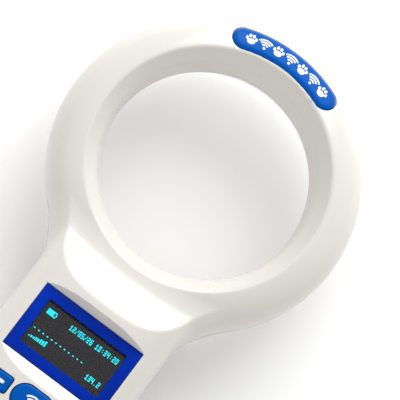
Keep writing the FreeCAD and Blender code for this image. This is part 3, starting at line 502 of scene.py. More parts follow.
def make_finishes(colours):
    """Every finish by the record's slot name, with the extra ones that only the looks need."""
    blue = tuple(colours.key_blue)
    return {
        "case_plastic": moulded("case white", tuple(colours.case_white), 0.26, 1400, 0.0012, coat=0.25,
                                mottle=0.008),
        "blue_plastic": moulded("key blue", blue, 0.16, 1400, 0.001, mottle=0.06, specular=0.05),
        "window_plastic": moulded("window border", tuple(colours.border_blue), 0.16, 1500, 0.002,
                                  mottle=0.12, specular=0.04),
        "window_clear": clear_plate("window clear"),
        "display_glass": moulded("display glass", (0.012, 0.008, 0.012), 0.08, 1500, 0.001, coat=0.5),
        "display_glow": glowing("display glow", tuple(colours.glow), 1.3),
        "mark_white": moulded("printed white", (0.86, 0.87, 0.87), 0.35, 3000, 0.003),
        "black_foam": moulded("foam", (0.03, 0.03, 0.032), 0.9, 3500, 0.12, mottle=0.3),
        "inner_plastic": moulded("black moulding", (0.03, 0.03, 0.033), 0.5, 2600, 0.02, mottle=0.1),
        "flex_film": moulded("amber film", (0.45, 0.2, 0.03), 0.25, 900, 0.004, coat=0.4, mottle=0.2),
        "connector_plastic": moulded("natural moulding", (0.72, 0.69, 0.6), 0.45, 2400, 0.01),
        "switch_metal": worked_metal("tinned sheet", (0.66, 0.66, 0.65), 0.3, (1, 12, 1)),
        "screw_steel": worked_metal("zinc plate", (0.5, 0.51, 0.53), 0.34),
        "circuit_board": board_green("circuit board"),
        "chip_black": moulded("chip resin", (0.018, 0.018, 0.02), 0.55, 3600, 0.02, mottle=0.15),
        "capacitor_ceramic": moulded("chip ceramic", (0.42, 0.28, 0.15), 0.5, 3200, 0.01, mottle=0.12),
        "battery_foil": worked_metal("cell foil", (0.6, 0.61, 0.63), 0.42, (6, 1, 1), 700),
        "lead_rubber": moulded("lead sleeve", (0.42, 0.015, 0.015), 0.45, 2200, 0.01, mottle=0.1),
        "former_plastic": moulded("former", (0.6, 0.58, 0.52), 0.5, 1800, 0.012),
        "coil_copper": worked_metal("enamelled wire", (0.62, 0.24, 0.09), 0.28),
        "label_film": moulded("label film", (0.62, 0.63, 0.64), 0.38, 2600, 0.006),
    }


FINISHES = {}


def dress(piece, slot_name, finish=None):
    """Give a piece the finish of the record's slot it fills, or another finish if one is named."""
    piece.data.materials.clear()
    piece.data.materials.append(FINISHES[finish or slot_name])
    return piece


def stand_for(piece, body, slot_name, *nodes, finish=None):
    """Finish a piece, set it on its body and let it stand for its CAD nodes."""
    dress(piece, slot_name, finish)
    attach(piece, body)
    if nodes:
        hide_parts(*nodes)
    return piece


# ---------------------------------------------------------------- repeats, as geometry nodes

def node_group(name, sockets):
    """An empty geometry tree with the given named number inputs."""
    tree = bpy.data.node_groups.new(name, "GeometryNodeTree")
    tree.interface.new_socket("Geometry", in_out="INPUT", socket_type="NodeSocketGeometry")
    identifiers = {}
    for label, kind, default in sockets:
        socket = tree.interface.new_socket(label, in_out="INPUT", socket_type=kind)
        if default is not None:
            socket.default_value = default
        identifiers[label] = socket.identifier
    tree.interface.new_socket("Geometry", in_out="OUTPUT", socket_type="NodeSocketGeometry")
    source = tree.nodes.new("NodeGroupInput")
    result = tree.nodes.new("NodeGroupOutput")
    return tree, source, result, identifiers


def finish_tree(tree, result, geometry, material):
    """End a tree in realized instances with their material set."""
    realize = tree.nodes.new("GeometryNodeRealizeInstances")
    paint = tree.nodes.new("GeometryNodeSetMaterial")
    paint.inputs["Material"].default_value = material
    tree.links.new(geometry, realize.inputs["Geometry"])
    tree.links.new(realize.outputs["Geometry"], paint.inputs["Geometry"])
    tree.links.new(paint.outputs["Geometry"], result.inputs[0])


def grown(name, base, tree, identifiers, values, angle=32):
    """Run a geometry tree on a base mesh and keep the result as a plain mesh object."""
    modifier = base.modifiers.new(name, "NODES")
    modifier.node_group = tree
    for label, value in values.items():
        modifier[identifiers[label]] = value
    bpy.context.view_layer.update()
    evaluated = base.evaluated_get(bpy.context.evaluated_depsgraph_get())
    mesh = bpy.data.meshes.new_from_object(evaluated)
    base.modifiers.remove(modifier)
    bpy.data.objects.remove(base)
    mesh.name = name
    mesh.polygons.foreach_set("use_smooth", [True] * len(mesh.polygons))
    mesh.set_sharp_from_angle(angle=math.radians(angle))
    piece = bpy.data.objects.new(name, mesh)
    bpy.context.collection.objects.link(piece)
    return piece


def points_object(name, places):
    """A mesh of bare points, from millimetres."""
    mesh = bpy.data.meshes.new(name)
    mesh.from_pydata([tuple(part * MM for part in place) for place in places], [], [])
    points = bpy.data.objects.new(name, mesh)
    bpy.context.collection.objects.link(points)
    return points


def repeated(name, places, item, slot_name, turn=0.0, finish=None):
    """Copies of a small mesh object set on points by a geometry tree, as one plain mesh."""
    tree, source, result, identifiers = node_group(name + " repeat", [("Turn", "NodeSocketFloat", 0.0)])
    shape = tree.nodes.new("GeometryNodeObjectInfo")
    shape.inputs["Object"].default_value = item
    instance = tree.nodes.new("GeometryNodeInstanceOnPoints")
    turning = tree.nodes.new("ShaderNodeCombineXYZ")
    to_points = tree.nodes.new("GeometryNodeMeshToPoints")
    tree.links.new(source.outputs["Geometry"], to_points.inputs["Mesh"])
    tree.links.new(to_points.outputs["Points"], instance.inputs["Points"])
    tree.links.new(shape.outputs["Geometry"], instance.inputs["Instance"])
    tree.links.new(source.outputs["Turn"], turning.inputs["Z"])
    tree.links.new(turning.outputs["Vector"], instance.inputs["Rotation"])
    finish_tree(tree, result, instance.outputs["Instances"], FINISHES[finish or slot_name])
    piece = grown(name, points_object(name + "_points", places), tree, identifiers, {"Turn": turn})
    bpy.data.objects.remove(item)
    return piece


# ---------------------------------------------------------------- covers

WINDOW_LOW, WINDOW_HIGH = box_mm("display_window")
WINDOW_MIDDLE = (WINDOW_LOW + WINDOW_HIGH) / 2
WINDOW_HALF = (WINDOW_HIGH - WINDOW_LOW) / 2
TAPE_FLOOR = box_mm("window_tape")[0][2]
POCKET_FLOOR = WINDOW_HIGH[2] - 0.2
BED_FLOOR = box_mm("display_panel")[1][2]
BADGE_LOW, BADGE_HIGH = box_mm("ring_badge")
BADGE_BAND = BADGE_HIGH[1] - 0.05 - RING_MIDDLE - BADGE_ROUND
LABEL_LOW, LABEL_HIGH = box_mm("rear_label")
LABEL_MIDDLE = (LABEL_LOW + LABEL_HIGH) / 2
LABEL_HALF = (LABEL_HIGH - LABEL_LOW) / 2
KEYS = ("scan", "left", "right")
SWITCH_MIDDLES = {key: middle_mm(f"{key}_switch") for key in KEYS}
KEY_FLANGE = 0.45


def key_sizes(key):
    """Middle, half sizes and corner of a key's plan, read from its flange in the frame."""
    low, high = box_mm(f"{key}_key")
    if key == "scan":
        half = ((high - low) / 2)[:2] - KEY_FLANGE
        return (low + high)[:2] / 2, half, half[1] - 0.01
    half_height = (high[1] - low[1]) / 2 - KEY_FLANGE
    inner = min(abs(low[0]), abs(high[0])) + KEY_FLANGE
    middle_x = SWITCH_MIDDLES[key][0]
    half = np.array((abs(middle_x) - inner, half_height))
    return np.array((middle_x, (low[1] + high[1]) / 2)), half, 0.7


def key_plan(key, x, y, grow=0.0):
    middle, half, corner = key_sizes(key)
    return rounded_plan(x, y, middle, half[0] + grow, half[1] + grow, corner + grow)


def badge_plan(x, y, grow=0.0):
    """The badge's arched pill: a stretch of ring band with full round ends."""
    far_end = BADGE_HIGH[0] - 0.05
    half_angle = math.asin((far_end - BADGE_ROUND) / BADGE_BAND)
    angle = np.clip(np.arctan2(x, y - RING_MIDDLE), -half_angle, half_angle)
    middle_x, middle_y = BADGE_BAND * np.sin(angle), RING_MIDDLE + BADGE_BAND * np.cos(angle)
    return np.hypot(x - middle_x, y - middle_y) - BADGE_ROUND - grow


def screw_places():
    """The case screws' places, found from the frame's solid heads."""
    nodes = frame["nodes"]["case_screws"].data.vertices
    places = []
    for vertex in nodes:
        spot = np.array(vertex.co[:2]) / MM
        if all(np.hypot(*(spot - place["spots"][0])) > 6 for place in places):
            places.append({"spots": [spot], "z": []})
        nearest = min(places, key=lambda place: np.hypot(*(spot - place["spots"][0])))
        nearest["spots"].append(spot)
        nearest["z"].append(vertex.co[2] / MM)
    result = []
    for place in places:
        spots = np.array(place["spots"])
        middle = (spots.min(0) + spots.max(0)) / 2
        result.append((middle[0], middle[1], min(place["z"])))
    return result


SCREWS = screw_places()
PILOT_RADIUS = 1.0
POST_GAP = 0.2
LIP_RISE = 1.5
STEP_RISE = 1.7
LIP_ROOT = 2.0
BED_SIDE = 1.5
BED_END = 2.8
SEAT_GAP = 0.12
LEDGE = 2.0
SEAT_CORNER = 0.3
PLUG_WAY_HALF = (4.7, 1.85)
PLUG_WAY_ROUND = 1.8
PLUG_WAY_REACH = 6.0
LABEL_GAP = 0.1
LABEL_CORNER = 1.6
BADGE_GAP = 0.14
SOUND_MIDDLE = -11.5
SOUND_RING = 2.4
SOUND_HOLE = 0.6
BOSS_RADIUS = 2.5
HEAD_WELL = 2.0
HEAD_DEPTH = 1.5
SHANK_WAY = 1.1
SCREW_HEAD = 1.78
SCREW_SHANK = 0.98
SCREW_GAP = 0.05
CASE_SHANK = 9.9
PILOT_DEPTH = 5.8


def cover_field(case, face, front):
    """One cover as a field: skin less cavity on its side of the seam, with its seats and openings."""
    def field(x, y, z):
        skin = case_skin(case, x, y, z)
        room = skin + case.wall
        for across, along, _ in SCREWS:
            room = np.maximum(room, -upright_rod(x, y, (across, along), BOSS_RADIUS))
        if front:
            bed = np.maximum(np.abs(x) - WINDOW_HALF[0] - BED_SIDE,
                             np.abs(y - WINDOW_MIDDLE[1]) - WINDOW_HALF[1] - BED_END)
            room = np.maximum(room, -np.maximum(bed, BED_FLOOR - z))
        cover = np.maximum(skin, -room)
        lip = np.maximum(skin + case.wall / 2 + 0.1, -(skin + case.wall))
        for across, along, _ in SCREWS:
            lip = np.maximum(lip, -upright_rod(x, y, (across, along), BOSS_RADIUS + POST_GAP))
        if front:
            cover = np.maximum(cover, PARTING + case.seam / 2 - z)
            step = np.maximum(skin + case.wall / 2, z - PARTING - STEP_RISE)
            posts = np.minimum.reduce([upright_rod(x, y, place[:2], BOSS_RADIUS) for place in SCREWS])
            cover = np.maximum(cover, -np.maximum(step, -posts))
            for across, along, _ in SCREWS:
                pilot = upright_rod(x, y, (across, along), PILOT_RADIUS)
                cover = np.maximum(cover, -np.maximum(pilot, z - PARTING - PILOT_DEPTH))
            rise = (z - POCKET_FLOOR) / (COVER_HIGH[2] - WINDOW_HIGH[2])
            ring_slope = y - WINDOW_HIGH[1] - rise * face.pocket_ring_end
            tail_slope = WINDOW_LOW[1] - y - rise * face.pocket_tail_end
            pocket = np.maximum(np.maximum(ring_slope * 0.84, tail_slope * 0.6), POCKET_FLOOR - z)
            seat = rounded_plan(x, y, WINDOW_MIDDLE, *(WINDOW_HALF[:2] + SEAT_GAP), SEAT_CORNER)
            hole = rounded_plan(x, y, WINDOW_MIDDLE, *(WINDOW_HALF[:2] - LEDGE), SEAT_CORNER)
            badge = badge_plan(*spot_on_ring(case, x, y, z), BADGE_GAP)
            badge = np.maximum(badge, -(skin + face.badge_sunk))
            openings = [pocket, np.maximum(seat, TAPE_FLOOR - z), hole,
                        np.maximum(badge, PARTING + LIP_ROOT - z)]
            openings += [key_plan(key, x, y, face.key_gap) for key in KEYS]
            socket = middle_mm("charge_socket")
            plug_way = rounded_plan(x, z, (0, socket[2]), *PLUG_WAY_HALF, PLUG_WAY_ROUND)
            openings.append(np.maximum(plug_way, y - TAIL_END - PLUG_WAY_REACH))
            for opening in openings:
                cover = np.maximum(cover, -opening)
        else:
            lip = np.maximum(lip, z - PARTING - LIP_RISE)
            cover = np.maximum(cover, z - PARTING + case.seam / 2)
            cover = np.minimum(cover, np.maximum(lip, PARTING - LIP_ROOT - z))
            label = rounded_plan(x, y, LABEL_MIDDLE, *(LABEL_HALF[:2] + LABEL_GAP), LABEL_CORNER)
            cover = np.maximum(cover, -np.maximum(label, z - LABEL_HIGH[2]))
            for number in range(7):
                turn = math.radians(60 * number)
                ring = 0 if number == 6 else SOUND_RING
                place = (ring * math.cos(turn), SOUND_MIDDLE + ring * math.sin(turn))
                cover = np.maximum(cover, -upright_rod(x, y, place, SOUND_HOLE))
            for across, along, head_floor in SCREWS:
                well = np.maximum(upright_rod(x, y, (across, along), HEAD_WELL), z - head_floor - HEAD_DEPTH)
                way = upright_rod(x, y, (across, along), SHANK_WAY)
                cover = np.maximum(cover, -np.minimum(well, way))
        return cover
    return field


class SCANNER_OT_front_cover(bpy.types.Operator):
    """Mould the front cover: ring face, ramp, crown, display pocket, and key and badge seats."""
    bl_idname = "scanner.front_cover"
    bl_label = "Front cover"

    def execute(self, context):
        case, face = context.scene.scanner_case, context.scene.scanner_face
        cover = fielded("front_shell", cover_field(case, face, True), COVER_LOW - 1.3, COVER_HIGH + 1.3,
                        case.mesh_step)
        stand_for(cover, CASE, "case_plastic", "front_cover")
        return {"FINISHED"}


class SCANNER_OT_rear_cover(bpy.types.Operator):
    """Mould the rear cover with its belly flat, screw wells, label seat and joint lip."""
    bl_idname = "scanner.rear_cover"
    bl_label = "Rear cover"

    def execute(self, context):
        case, face = context.scene.scanner_case, context.scene.scanner_face
        low, high = box_mm("rear_cover")
        cover = fielded("rear_shell", cover_field(case, face, False), low - 1.3, high + 1.3, case.mesh_step)
        stand_for(cover, CASE, "case_plastic", "rear_cover")
        return {"FINISHED"}


class SCANNER_OT_badge(bpy.types.Operator):
    """Make the domed badge on the ring's far end."""
    bl_idname = "scanner.badge"
    bl_label = "Ring badge"

    def execute(self, context):
        case, face = context.scene.scanner_case, context.scene.scanner_face

        def field(x, y, z):
            skin = ring_skin(case, x, y, z)
            top = smooth_max(badge_plan(*spot_on_ring(case, x, y, z)), skin - face.badge_proud, 1.5)
            return np.maximum(top, -(skin + face.badge_sunk - 0.5))
        badge = fielded("badge_dome", field, BADGE_LOW - 0.8, BADGE_HIGH + 0.8, 0.24)
        stand_for(badge, CASE, "blue_plastic", "ring_badge")
        return {"FINISHED"}


class SCANNER_OT_keys(bpy.types.Operator):
    """Make the three keys, each with a crowned cap, a flange that holds it in, and a stem."""
    bl_idname = "scanner.keys"
    bl_label = "Keys"

    def execute(self, context):
        case, face = context.scene.scanner_case, context.scene.scanner_face
        for key in KEYS:
            low, high = box_mm(f"{key}_key")
            foot = box_mm(f"{key}_plunger")[1][2]

            def field(x, y, z):
                skin = case_skin(case, x, y, z)
                cap = smooth_max(key_plan(key, x, y), skin - face.key_proud, 0.9)
                cap = np.maximum(cap, -(skin + case.wall + 0.6))
                flange = np.maximum(key_plan(key, x, y, KEY_FLANGE - 0.1), skin + case.wall + 0.3)
                flange = np.maximum(flange, -(skin + case.wall + 1.1))
                flange = np.maximum(flange, low[2] - z)
                stem = np.maximum(upright_rod(x, y, SWITCH_MIDDLES[key], 1.9), foot - z)
                stem = np.maximum(stem, z - foot - 2.8)
                return np.minimum(np.minimum(cap, np.maximum(flange, foot - 0.6 - z)), stem)
            piece = fielded(f"{key}_key_cap", field, low - 0.7, high + 0.7, 0.22)
            stand_for(piece, f"{key}_key_body", "blue_plastic", f"{key}_key")
        return {"FINISHED"}


class SCANNER_OT_window(bpy.types.Operator):
    """Make the display window: a bevelled clear plate with a printed blue border."""
    bl_idname = "scanner.window"
    bl_label = "Display window"

    def execute(self, context):
        face = context.scene.scanner_face
        clear = (face.window_clear_width / 2, face.window_clear_height / 2)
        loops = []
        top, floor = WINDOW_HIGH[2], WINDOW_LOW[2]
        for half, height in (((WINDOW_HALF[0], WINDOW_HALF[1]), floor),
                             ((WINDOW_HALF[0], WINDOW_HALF[1]), top - 0.2),
                             ((WINDOW_HALF[0] - 0.2, WINDOW_HALF[1] - 0.2), top), (clear, top)):
            loops.append([(side * half[0], WINDOW_MIDDLE[1] + up * half[1], height)
                          for side, up in ((-1, -1), (1, -1), (1, 1), (-1, 1))])
        loops.append([(x, y, floor) for x, y, _ in loops[3]])
        vertices = [corner for loop in loops for corner in loop]
        faces = []
        for start in (0, 4, 8):
            for side in range(4):
                following = (side + 1) % 4
                faces.append((start + side, start + following, start + 4 + following, start + 4 + side))
        for side in range(4):
            following = (side + 1) % 4
            faces.append((16 + side, 16 + following, following, side))
        borders = len(faces)
        faces.append((12, 13, 14, 15))
        faces.append((19, 18, 17, 16))
        window = mesh_object("window_plate", vertices, faces, 60)
        stand_for(window, CASE, "window_plastic", "display_window")
        window.data.materials.append(FINISHES["window_clear"])
        for face_index in range(borders, len(window.data.polygons)):
            window.data.polygons[face_index].material_index = 1
        return {"FINISHED"}


# ---------------------------------------------------------------- display picture and printed marks

def dot_digit(digit):
    """A digit as (column, row) dots on a grid three wide and five high."""
    strokes = {
        "0": ("111", "101", "101", "101", "111"), "1": ("010", "110", "010", "010", "111"),
        "2": ("111", "001", "111", "100", "111"), "3": ("111", "001", "111", "001", "111"),
        "4": ("101", "101", "111", "001", "001"), "5": ("111", "100", "111", "001", "111"),
        "6": ("111", "100", "111", "101", "111"), ":": ("000", "010", "000", "010", "000"),
        "/": ("001", "001", "010", "100", "100"), ".": ("000", "000", "000", "000", "010"), " ": ("000",),
    }
    return [(column, 4 - row) for row, line in enumerate(strokes[digit])
            for column, mark in enumerate(line) if mark == "1"]


def digits(text, column, row):
    """A run of digits whose lower left dot stands at a column and row."""
    return [(column + 4 * number + dot[0], row + dot[1])
            for number, digit in enumerate(text) for dot in dot_digit(digit)]


def battery_dots(column, row):
    """A battery symbol: a cell with a lit charge and a nib."""
    shell = [(x, y) for x in range(12) for y in range(5) if x in (0, 11) or y in (0, 4)]
    charge = [(x, y) for x in range(1, 9) for y in range(1, 4)]
    return [(column + x, row + y) for x, y in shell + charge + [(12, 2)]]


def bars_dots(column, row):
    """A row of signal bars that rise one by one."""
    return [(column + 3 * bar + side, row + up) for bar in range(8) for side in (0, 1)
            for up in range(1 + bar // 2 + bar % 2)]


def picture_dots(columns, rows):
    """All lit dots: battery, date and clock, a dotted line for a reading, signal bars and a counter."""
    dots = battery_dots(5, rows - 10)
    dots += digits("12/05/26 10:34:20", columns - 71, rows - 10)
    dots += [(4 + 6 * number + side, 16) for number in range(12) for side in (0, 1)]
    dots += bars_dots(4, 8)
    dots += digits("134.2", columns - 24, 7)
    return dots


def flat_dot(name, width, height, depth):
    """A small tile that stands on the origin."""
    mesh = bpy.data.meshes.new(name)
    build = bmesh.new()
    bmesh.ops.create_cube(build, size=1)
    for vertex in build.verts:
        vertex.co = Vector((vertex.co.x * width, vertex.co.y * height, (vertex.co.z + 0.5) * depth)) * MM
    build.to_mesh(mesh)
    build.free()
    tile = bpy.data.objects.new(name, mesh)
    bpy.context.collection.objects.link(tile)
    return tile


class SCANNER_OT_display(bpy.types.Operator):
    """Light the display: a dark glass with a dot picture of numbers and status signs on it."""
    bl_idname = "scanner.display"
    bl_label = "Display"

    def execute(self, context):
        face = context.scene.scanner_face
        panel_top = box_mm("display_panel")[1][2]
        columns = int(face.window_clear_width / face.dot_pitch)
        rows = int(face.window_clear_height / face.row_pitch)
        corner = (-columns * face.dot_pitch / 2, WINDOW_MIDDLE[1] - rows * face.row_pitch / 2)
        places = [(corner[0] + (column + 0.5) * face.dot_pitch, corner[1] + (row + 0.5) * face.row_pitch,
                   panel_top + 0.02) for column, row in picture_dots(columns, rows)]
        tile = flat_dot("display_dot", face.dot_pitch * 0.94, face.row_pitch * 0.9, 0.03)
        picture = repeated("display_dots", places, tile, "display_glass", finish="display_glow")
        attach(picture, CASE)
        return {"FINISHED"}


PRINT_PROUD = 0.035


def height_on(field, x, y, top, floor):
    """The height at which upright lines through points meet a field's skin, from above."""
    low = np.full(x.shape, float(floor))
    high = np.full(x.shape, float(top))
    for _ in range(26):
        middle = (low + high) / 2
        inside = field(x, y, middle) < 0
        low = np.where(inside, middle, low)
        high = np.where(inside, high, middle)
    return (low + high) / 2


def flat_print(name, plan, low, high, skin, top, floor, body, step=0.1):
    """A thin white print laid over a skin: a fine plan mesh, trimmed to its outline and given a rim."""
    low = np.array(low, float)
    counts = np.ceil((np.array(high) - low) / step).astype(int) + 1
    axes = [low[axis] + step * np.arange(counts[axis]) for axis in range(2)]
    x, y = np.meshgrid(*axes, indexing="ij")
    values = plan(x, y)
    cells = np.argwhere(np.minimum.reduce([values[:-1, :-1], values[1:, :-1], values[1:, 1:],
                                           values[:-1, 1:]]) < 0)
    corner_ids = [np.ravel_multi_index((cells + shift).T, counts)
                  for shift in ((0, 0), (1, 0), (1, 1), (0, 1))]
    ids, index = np.unique(np.concatenate(corner_ids), return_inverse=True)
    spots = np.stack([x.ravel()[ids], y.ravel()[ids]], axis=1)
    for _ in range(3):
        value = plan(*spots.T)
        lean = np.stack([plan(spots[:, 0] + 0.01, spots[:, 1]) - plan(spots[:, 0] - 0.01, spots[:, 1]),
                         plan(spots[:, 0], spots[:, 1] + 0.01) - plan(spots[:, 0], spots[:, 1] - 0.01)],
                        axis=1) / 0.02
        pull = np.where(value > 0, value, 0)[:, None] * lean
        spots -= pull / np.maximum((lean ** 2).sum(axis=1, keepdims=True), 0.2)
    level = height_on(skin, spots[:, 0], spots[:, 1], top, floor)
    count = len(spots)
    upper = np.column_stack([spots, level + PRINT_PROUD])
    lower = np.column_stack([spots, level - PRINT_PROUD])
    quads = index.reshape(4, -1).T
    faces = [tuple(quad) for quad in quads] + [tuple(count + quad[::-1]) for quad in quads]
    sides = {}
    for quad in quads:
        for side in range(4):
            edge = (quad[side], quad[(side + 1) % 4])
            sides[edge] = sides.get(edge[::-1], 0) + 1
            if edge[::-1] in sides:
                sides[edge[::-1]] = 0
                sides[edge] = 0
    for (first, second), alone in sides.items():
        if alone:
            faces.append((second, first, first + count, second + count))
    piece = mesh_object(name, np.concatenate([upper, lower]), faces, 50)
    return stand_for(piece, body, "blue_plastic", finish="mark_white")


def paw_plan(x, y, middle, size):
    """A generic paw print: one broad pad and four toes."""
    u, v = (x - middle[0]) / size, (y - middle[1]) / size
    pad = np.hypot(u / 0.52, (v + 0.28) / 0.4) - 1
    marks = [pad * 0.45]
    for across, up, width, height in ((-0.6, 0.12, 0.17, 0.24), (-0.23, 0.52, 0.18, 0.27),
                                      (0.23, 0.52, 0.18, 0.27), (0.6, 0.12, 0.17, 0.24)):
        marks.append((np.hypot((u - across) / width, (v - up) / height) - 1) * width)
    return np.minimum.reduce(marks) * size


def wave_plan(x, y, middle, size):
    """Three reading-field arcs that open upward from a dot."""
    u, v = x - middle[0], y - middle[1] + size * 0.62
    reach, turn = np.hypot(u, v), np.abs(np.arctan2(u, v))
    arcs = [np.maximum(np.abs(reach - size * ring) - size * 0.12, (turn - 0.8) * reach)
            for ring in (0.56, 0.98, 1.4)]
    return np.minimum(np.minimum.reduce(arcs), reach - size * 0.2)


def bar_plan(x, y, middle, half_length, half_width):
    """A straight bar with round ends."""
    along = np.maximum(np.abs(x - middle[0]) - (half_length - half_width), 0)
    return np.hypot(along, y - middle[1]) - half_width


class SCANNER_OT_marks(bpy.types.Operator):
    """Print the white marks: signs on the keys, and paws and field arcs along the badge."""
    bl_idname = "scanner.marks"
    bl_label = "Printed marks"

    def execute(self, context):
        case, face = context.scene.scanner_case, context.scene.scanner_face

        def key_skin(x, y, z):
            return case_skin(case, x, y, z) - face.key_proud

        def badge_skin(x, y, z):
            plan = badge_plan(*spot_on_ring(case, x, y, z))
            return smooth_max(plan, ring_skin(case, x, y, z) - face.badge_proud, 1.5)

        top = COVER_HIGH[2] + 1
        for key in ("left", "right"):
            middle, half, _ = key_sizes(key)
            spot = (middle[0] + math.copysign(half[0] * 0.04, -middle[0]), middle[1])
            length = half[0] * 0.62 if key == "left" else half[1] * 0.72

            def plan(x, y):
                bar = bar_plan(x, y, spot, length, 0.42)
                if key == "left":
                    return bar
                return np.minimum(bar, bar_plan(y, x, spot[::-1], length, 0.42))
            flat_print(f"{key}_key_sign", plan, middle - half, middle + half, key_skin, top, PARTING + 6,
                       f"{key}_key_body")
        middle, half, _ = key_sizes("scan")
        flat_print("scan_key_sign", lambda x, y: wave_plan(x, y, middle, 2.0), middle - half, middle + half,
                   key_skin, top, PARTING + 6, "scan_key_body")

        signs = (("paw", 2.1), ("wave", 1.85)) * 3 + (("paw", 2.1),)
        for number, (sign, size) in enumerate(signs):
            angle = math.radians((number - 3) * 6.1)
            spot = (BADGE_BAND * math.sin(angle), RING_MIDDLE + BADGE_BAND * math.cos(angle))

            def plan(x, y):
                along = (x - spot[0]) * math.cos(angle) - (y - spot[1]) * math.sin(angle)
                outward = (x - spot[0]) * math.sin(angle) + (y - spot[1]) * math.cos(angle)
                draw = paw_plan if sign == "paw" else wave_plan
                return draw(along, outward, (0, 0), size)
            reach = np.array((2.8, 2.8))
            flat_print(f"badge_{sign}_{number + 1}", plan, np.array(spot) - reach, np.array(spot) + reach,
                       badge_skin, top, PARTING + 4, CASE, 0.08)
        return {"FINISHED"}


# ---------------------------------------------------------------- fasteners, coil, label and inner parts

def turned(name, profile, steps):
    """A turned solid from a profile of radii and heights, closed on its axis."""
    vertices, faces = [], []
    for radius, height in profile:
        for step in range(steps):
            angle = 2 * math.pi * step / steps
            vertices.append((radius * math.cos(angle), radius * math.sin(angle), height))
    for row in range(len(profile) - 1):
        for step in range(steps):
            following = (step + 1) % steps
            faces.append((row * steps + step, row * steps + following,
                          (row + 1) * steps + following, (row + 1) * steps + step))
    faces.append(tuple(range(steps))[::-1])
    faces.append(tuple((len(profile) - 1) * steps + step for step in range(steps)))
    return mesh_object(name, vertices, faces, 40)


def screw_blank(name, head_radius, head_depth, shank_radius, length, pitch):
    """A pan-head screw, head down, with a cross recess and thread crests, its seat at the origin."""
    profile = [(head_radius * 0.55, -head_depth), (head_radius * 0.86, -head_depth * 0.86),
               (head_radius, -head_depth * 0.5), (head_radius, 0), (shank_radius * 0.86, 0.001)]
    for turn in range(int(length / pitch) - 1):
        height = pitch * (turn + 0.6)
        profile += [(shank_radius * 0.8, height), (shank_radius, height + pitch * 0.35),
                    (shank_radius * 0.8, height + pitch * 0.7)]
    profile += [(shank_radius * 0.45, length - 0.1)]
    blank = turned(name, profile, 24)
    bpy.context.view_layer.update()
    for number in range(2):
        cutter = flat_dot(f"{name}_recess_{number}", 1, 1, 1)
        half = (head_radius * 0.62, head_radius * 0.16)[::1 if number else -1]
        for vertex in cutter.data.vertices:
            vertex.co = Vector((vertex.co.x * 2 * half[0], vertex.co.y * 2 * half[1],
                                vertex.co.z * head_depth * 1.2 - head_depth * 1.7 * MM))
        carve = blank.modifiers.new("recess", "BOOLEAN")
        carve.object = cutter
        carve.solver = "EXACT"
        bpy.context.view_layer.update()
        mesh = bpy.data.meshes.new_from_object(blank.evaluated_get(bpy.context.evaluated_depsgraph_get()))
        blank.modifiers.remove(carve)
        blank.data = mesh
        bpy.data.objects.remove(cutter)
    return blank


class SCANNER_OT_screws(bpy.types.Operator):
    """Set the case screws in their wells behind, and the board screws under the board."""
    bl_idname = "scanner.screws"
    bl_label = "Screws"

    def execute(self, context):
        head = (SCREW_HEAD, HEAD_DEPTH - SCREW_GAP, SCREW_SHANK)
        blank = screw_blank("case_screw_blank", *head, CASE_SHANK, 0.8)
        places = [(across, along, head_floor + HEAD_DEPTH) for across, along, head_floor in SCREWS]
        case_screws = repeated("case_screw_set", places, blank, "screw_steel")
        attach(case_screws, CASE)
        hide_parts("case_screws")
        low, high = box_mm("board_screws")
        shank = high[2] - low[2] - HEAD_DEPTH - SCREW_GAP
        blank = screw_blank("board_screw_blank", *head, shank, 0.6)
        inset = 1.8
        places = [(x, y, low[2] + HEAD_DEPTH) for x in (low[0] + inset, high[0] - inset)
                  for y in (low[1] + inset, high[1] - inset)]
        board_screws = repeated("board_screw_set", places, blank, "screw_steel", 0.4)
        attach(board_screws, CASE)
        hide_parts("board_screws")
        return {"FINISHED"}


class SCANNER_OT_coil(bpy.types.Operator):
    """Wind the reading coil: turns of wire stacked on the former."""
    bl_idname = "scanner.coil"
    bl_label = "Reading coil"

    def execute(self, context):
        low, high = box_mm("antenna_coil")
        depth, wire = 1.6, 0.4
        inner = high[0] - depth
        last_layer, last_turn = int(depth / wire) - 1, int((high[2] - low[2]) / wire) - 1
        tree, source, result, identifiers = node_group(
            "coil winding", [("Inner radius", "NodeSocketFloat", inner * MM),
                             ("Wire radius", "NodeSocketFloat", wire * MM / 2)])
        circle = tree.nodes.new("GeometryNodeCurvePrimitiveCircle")
        circle.inputs["Resolution"].default_value = 160
        section = tree.nodes.new("GeometryNodeCurvePrimitiveCircle")
        section.inputs["Resolution"].default_value = 8
        sweep = tree.nodes.new("GeometryNodeCurveToMesh")
        tree.links.new(source.outputs["Inner radius"], circle.inputs["Radius"])
        tree.links.new(source.outputs["Wire radius"], section.inputs["Radius"])
        tree.links.new(circle.outputs["Curve"], sweep.inputs["Curve"])
        tree.links.new(section.outputs["Curve"], sweep.inputs["Profile Curve"])
        layers = []
        for layer in range(last_layer + 1):
            for turn in range(last_turn + 1):
                if layer not in (0, last_layer) and turn not in (0, last_turn):
                    continue
                place = tree.nodes.new("GeometryNodeTransform")
                scale = (inner + wire * (layer + 0.5)) / inner
                place.inputs["Scale"].default_value = (scale, scale, 1)
                place.inputs["Translation"].default_value = (
                    0, RING_MIDDLE * MM, (low[2] + wire * (turn + 0.5)) * MM)
                tree.links.new(sweep.outputs["Mesh"], place.inputs["Geometry"])
                layers.append(place)
        join = tree.nodes.new("GeometryNodeJoinGeometry")
        for place in layers:
            tree.links.new(place.outputs["Geometry"], join.inputs["Geometry"])
        finish_tree(tree, result, join.outputs["Geometry"], FINISHES["coil_copper"])
        coil = grown("coil_turns", points_object("coil_points", []), tree, identifiers,
                     {"Inner radius": inner * MM, "Wire radius": wire * MM / 2}, 60)
        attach(coil, CASE)
        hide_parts("antenna_coil")
        return {"FINISHED"}


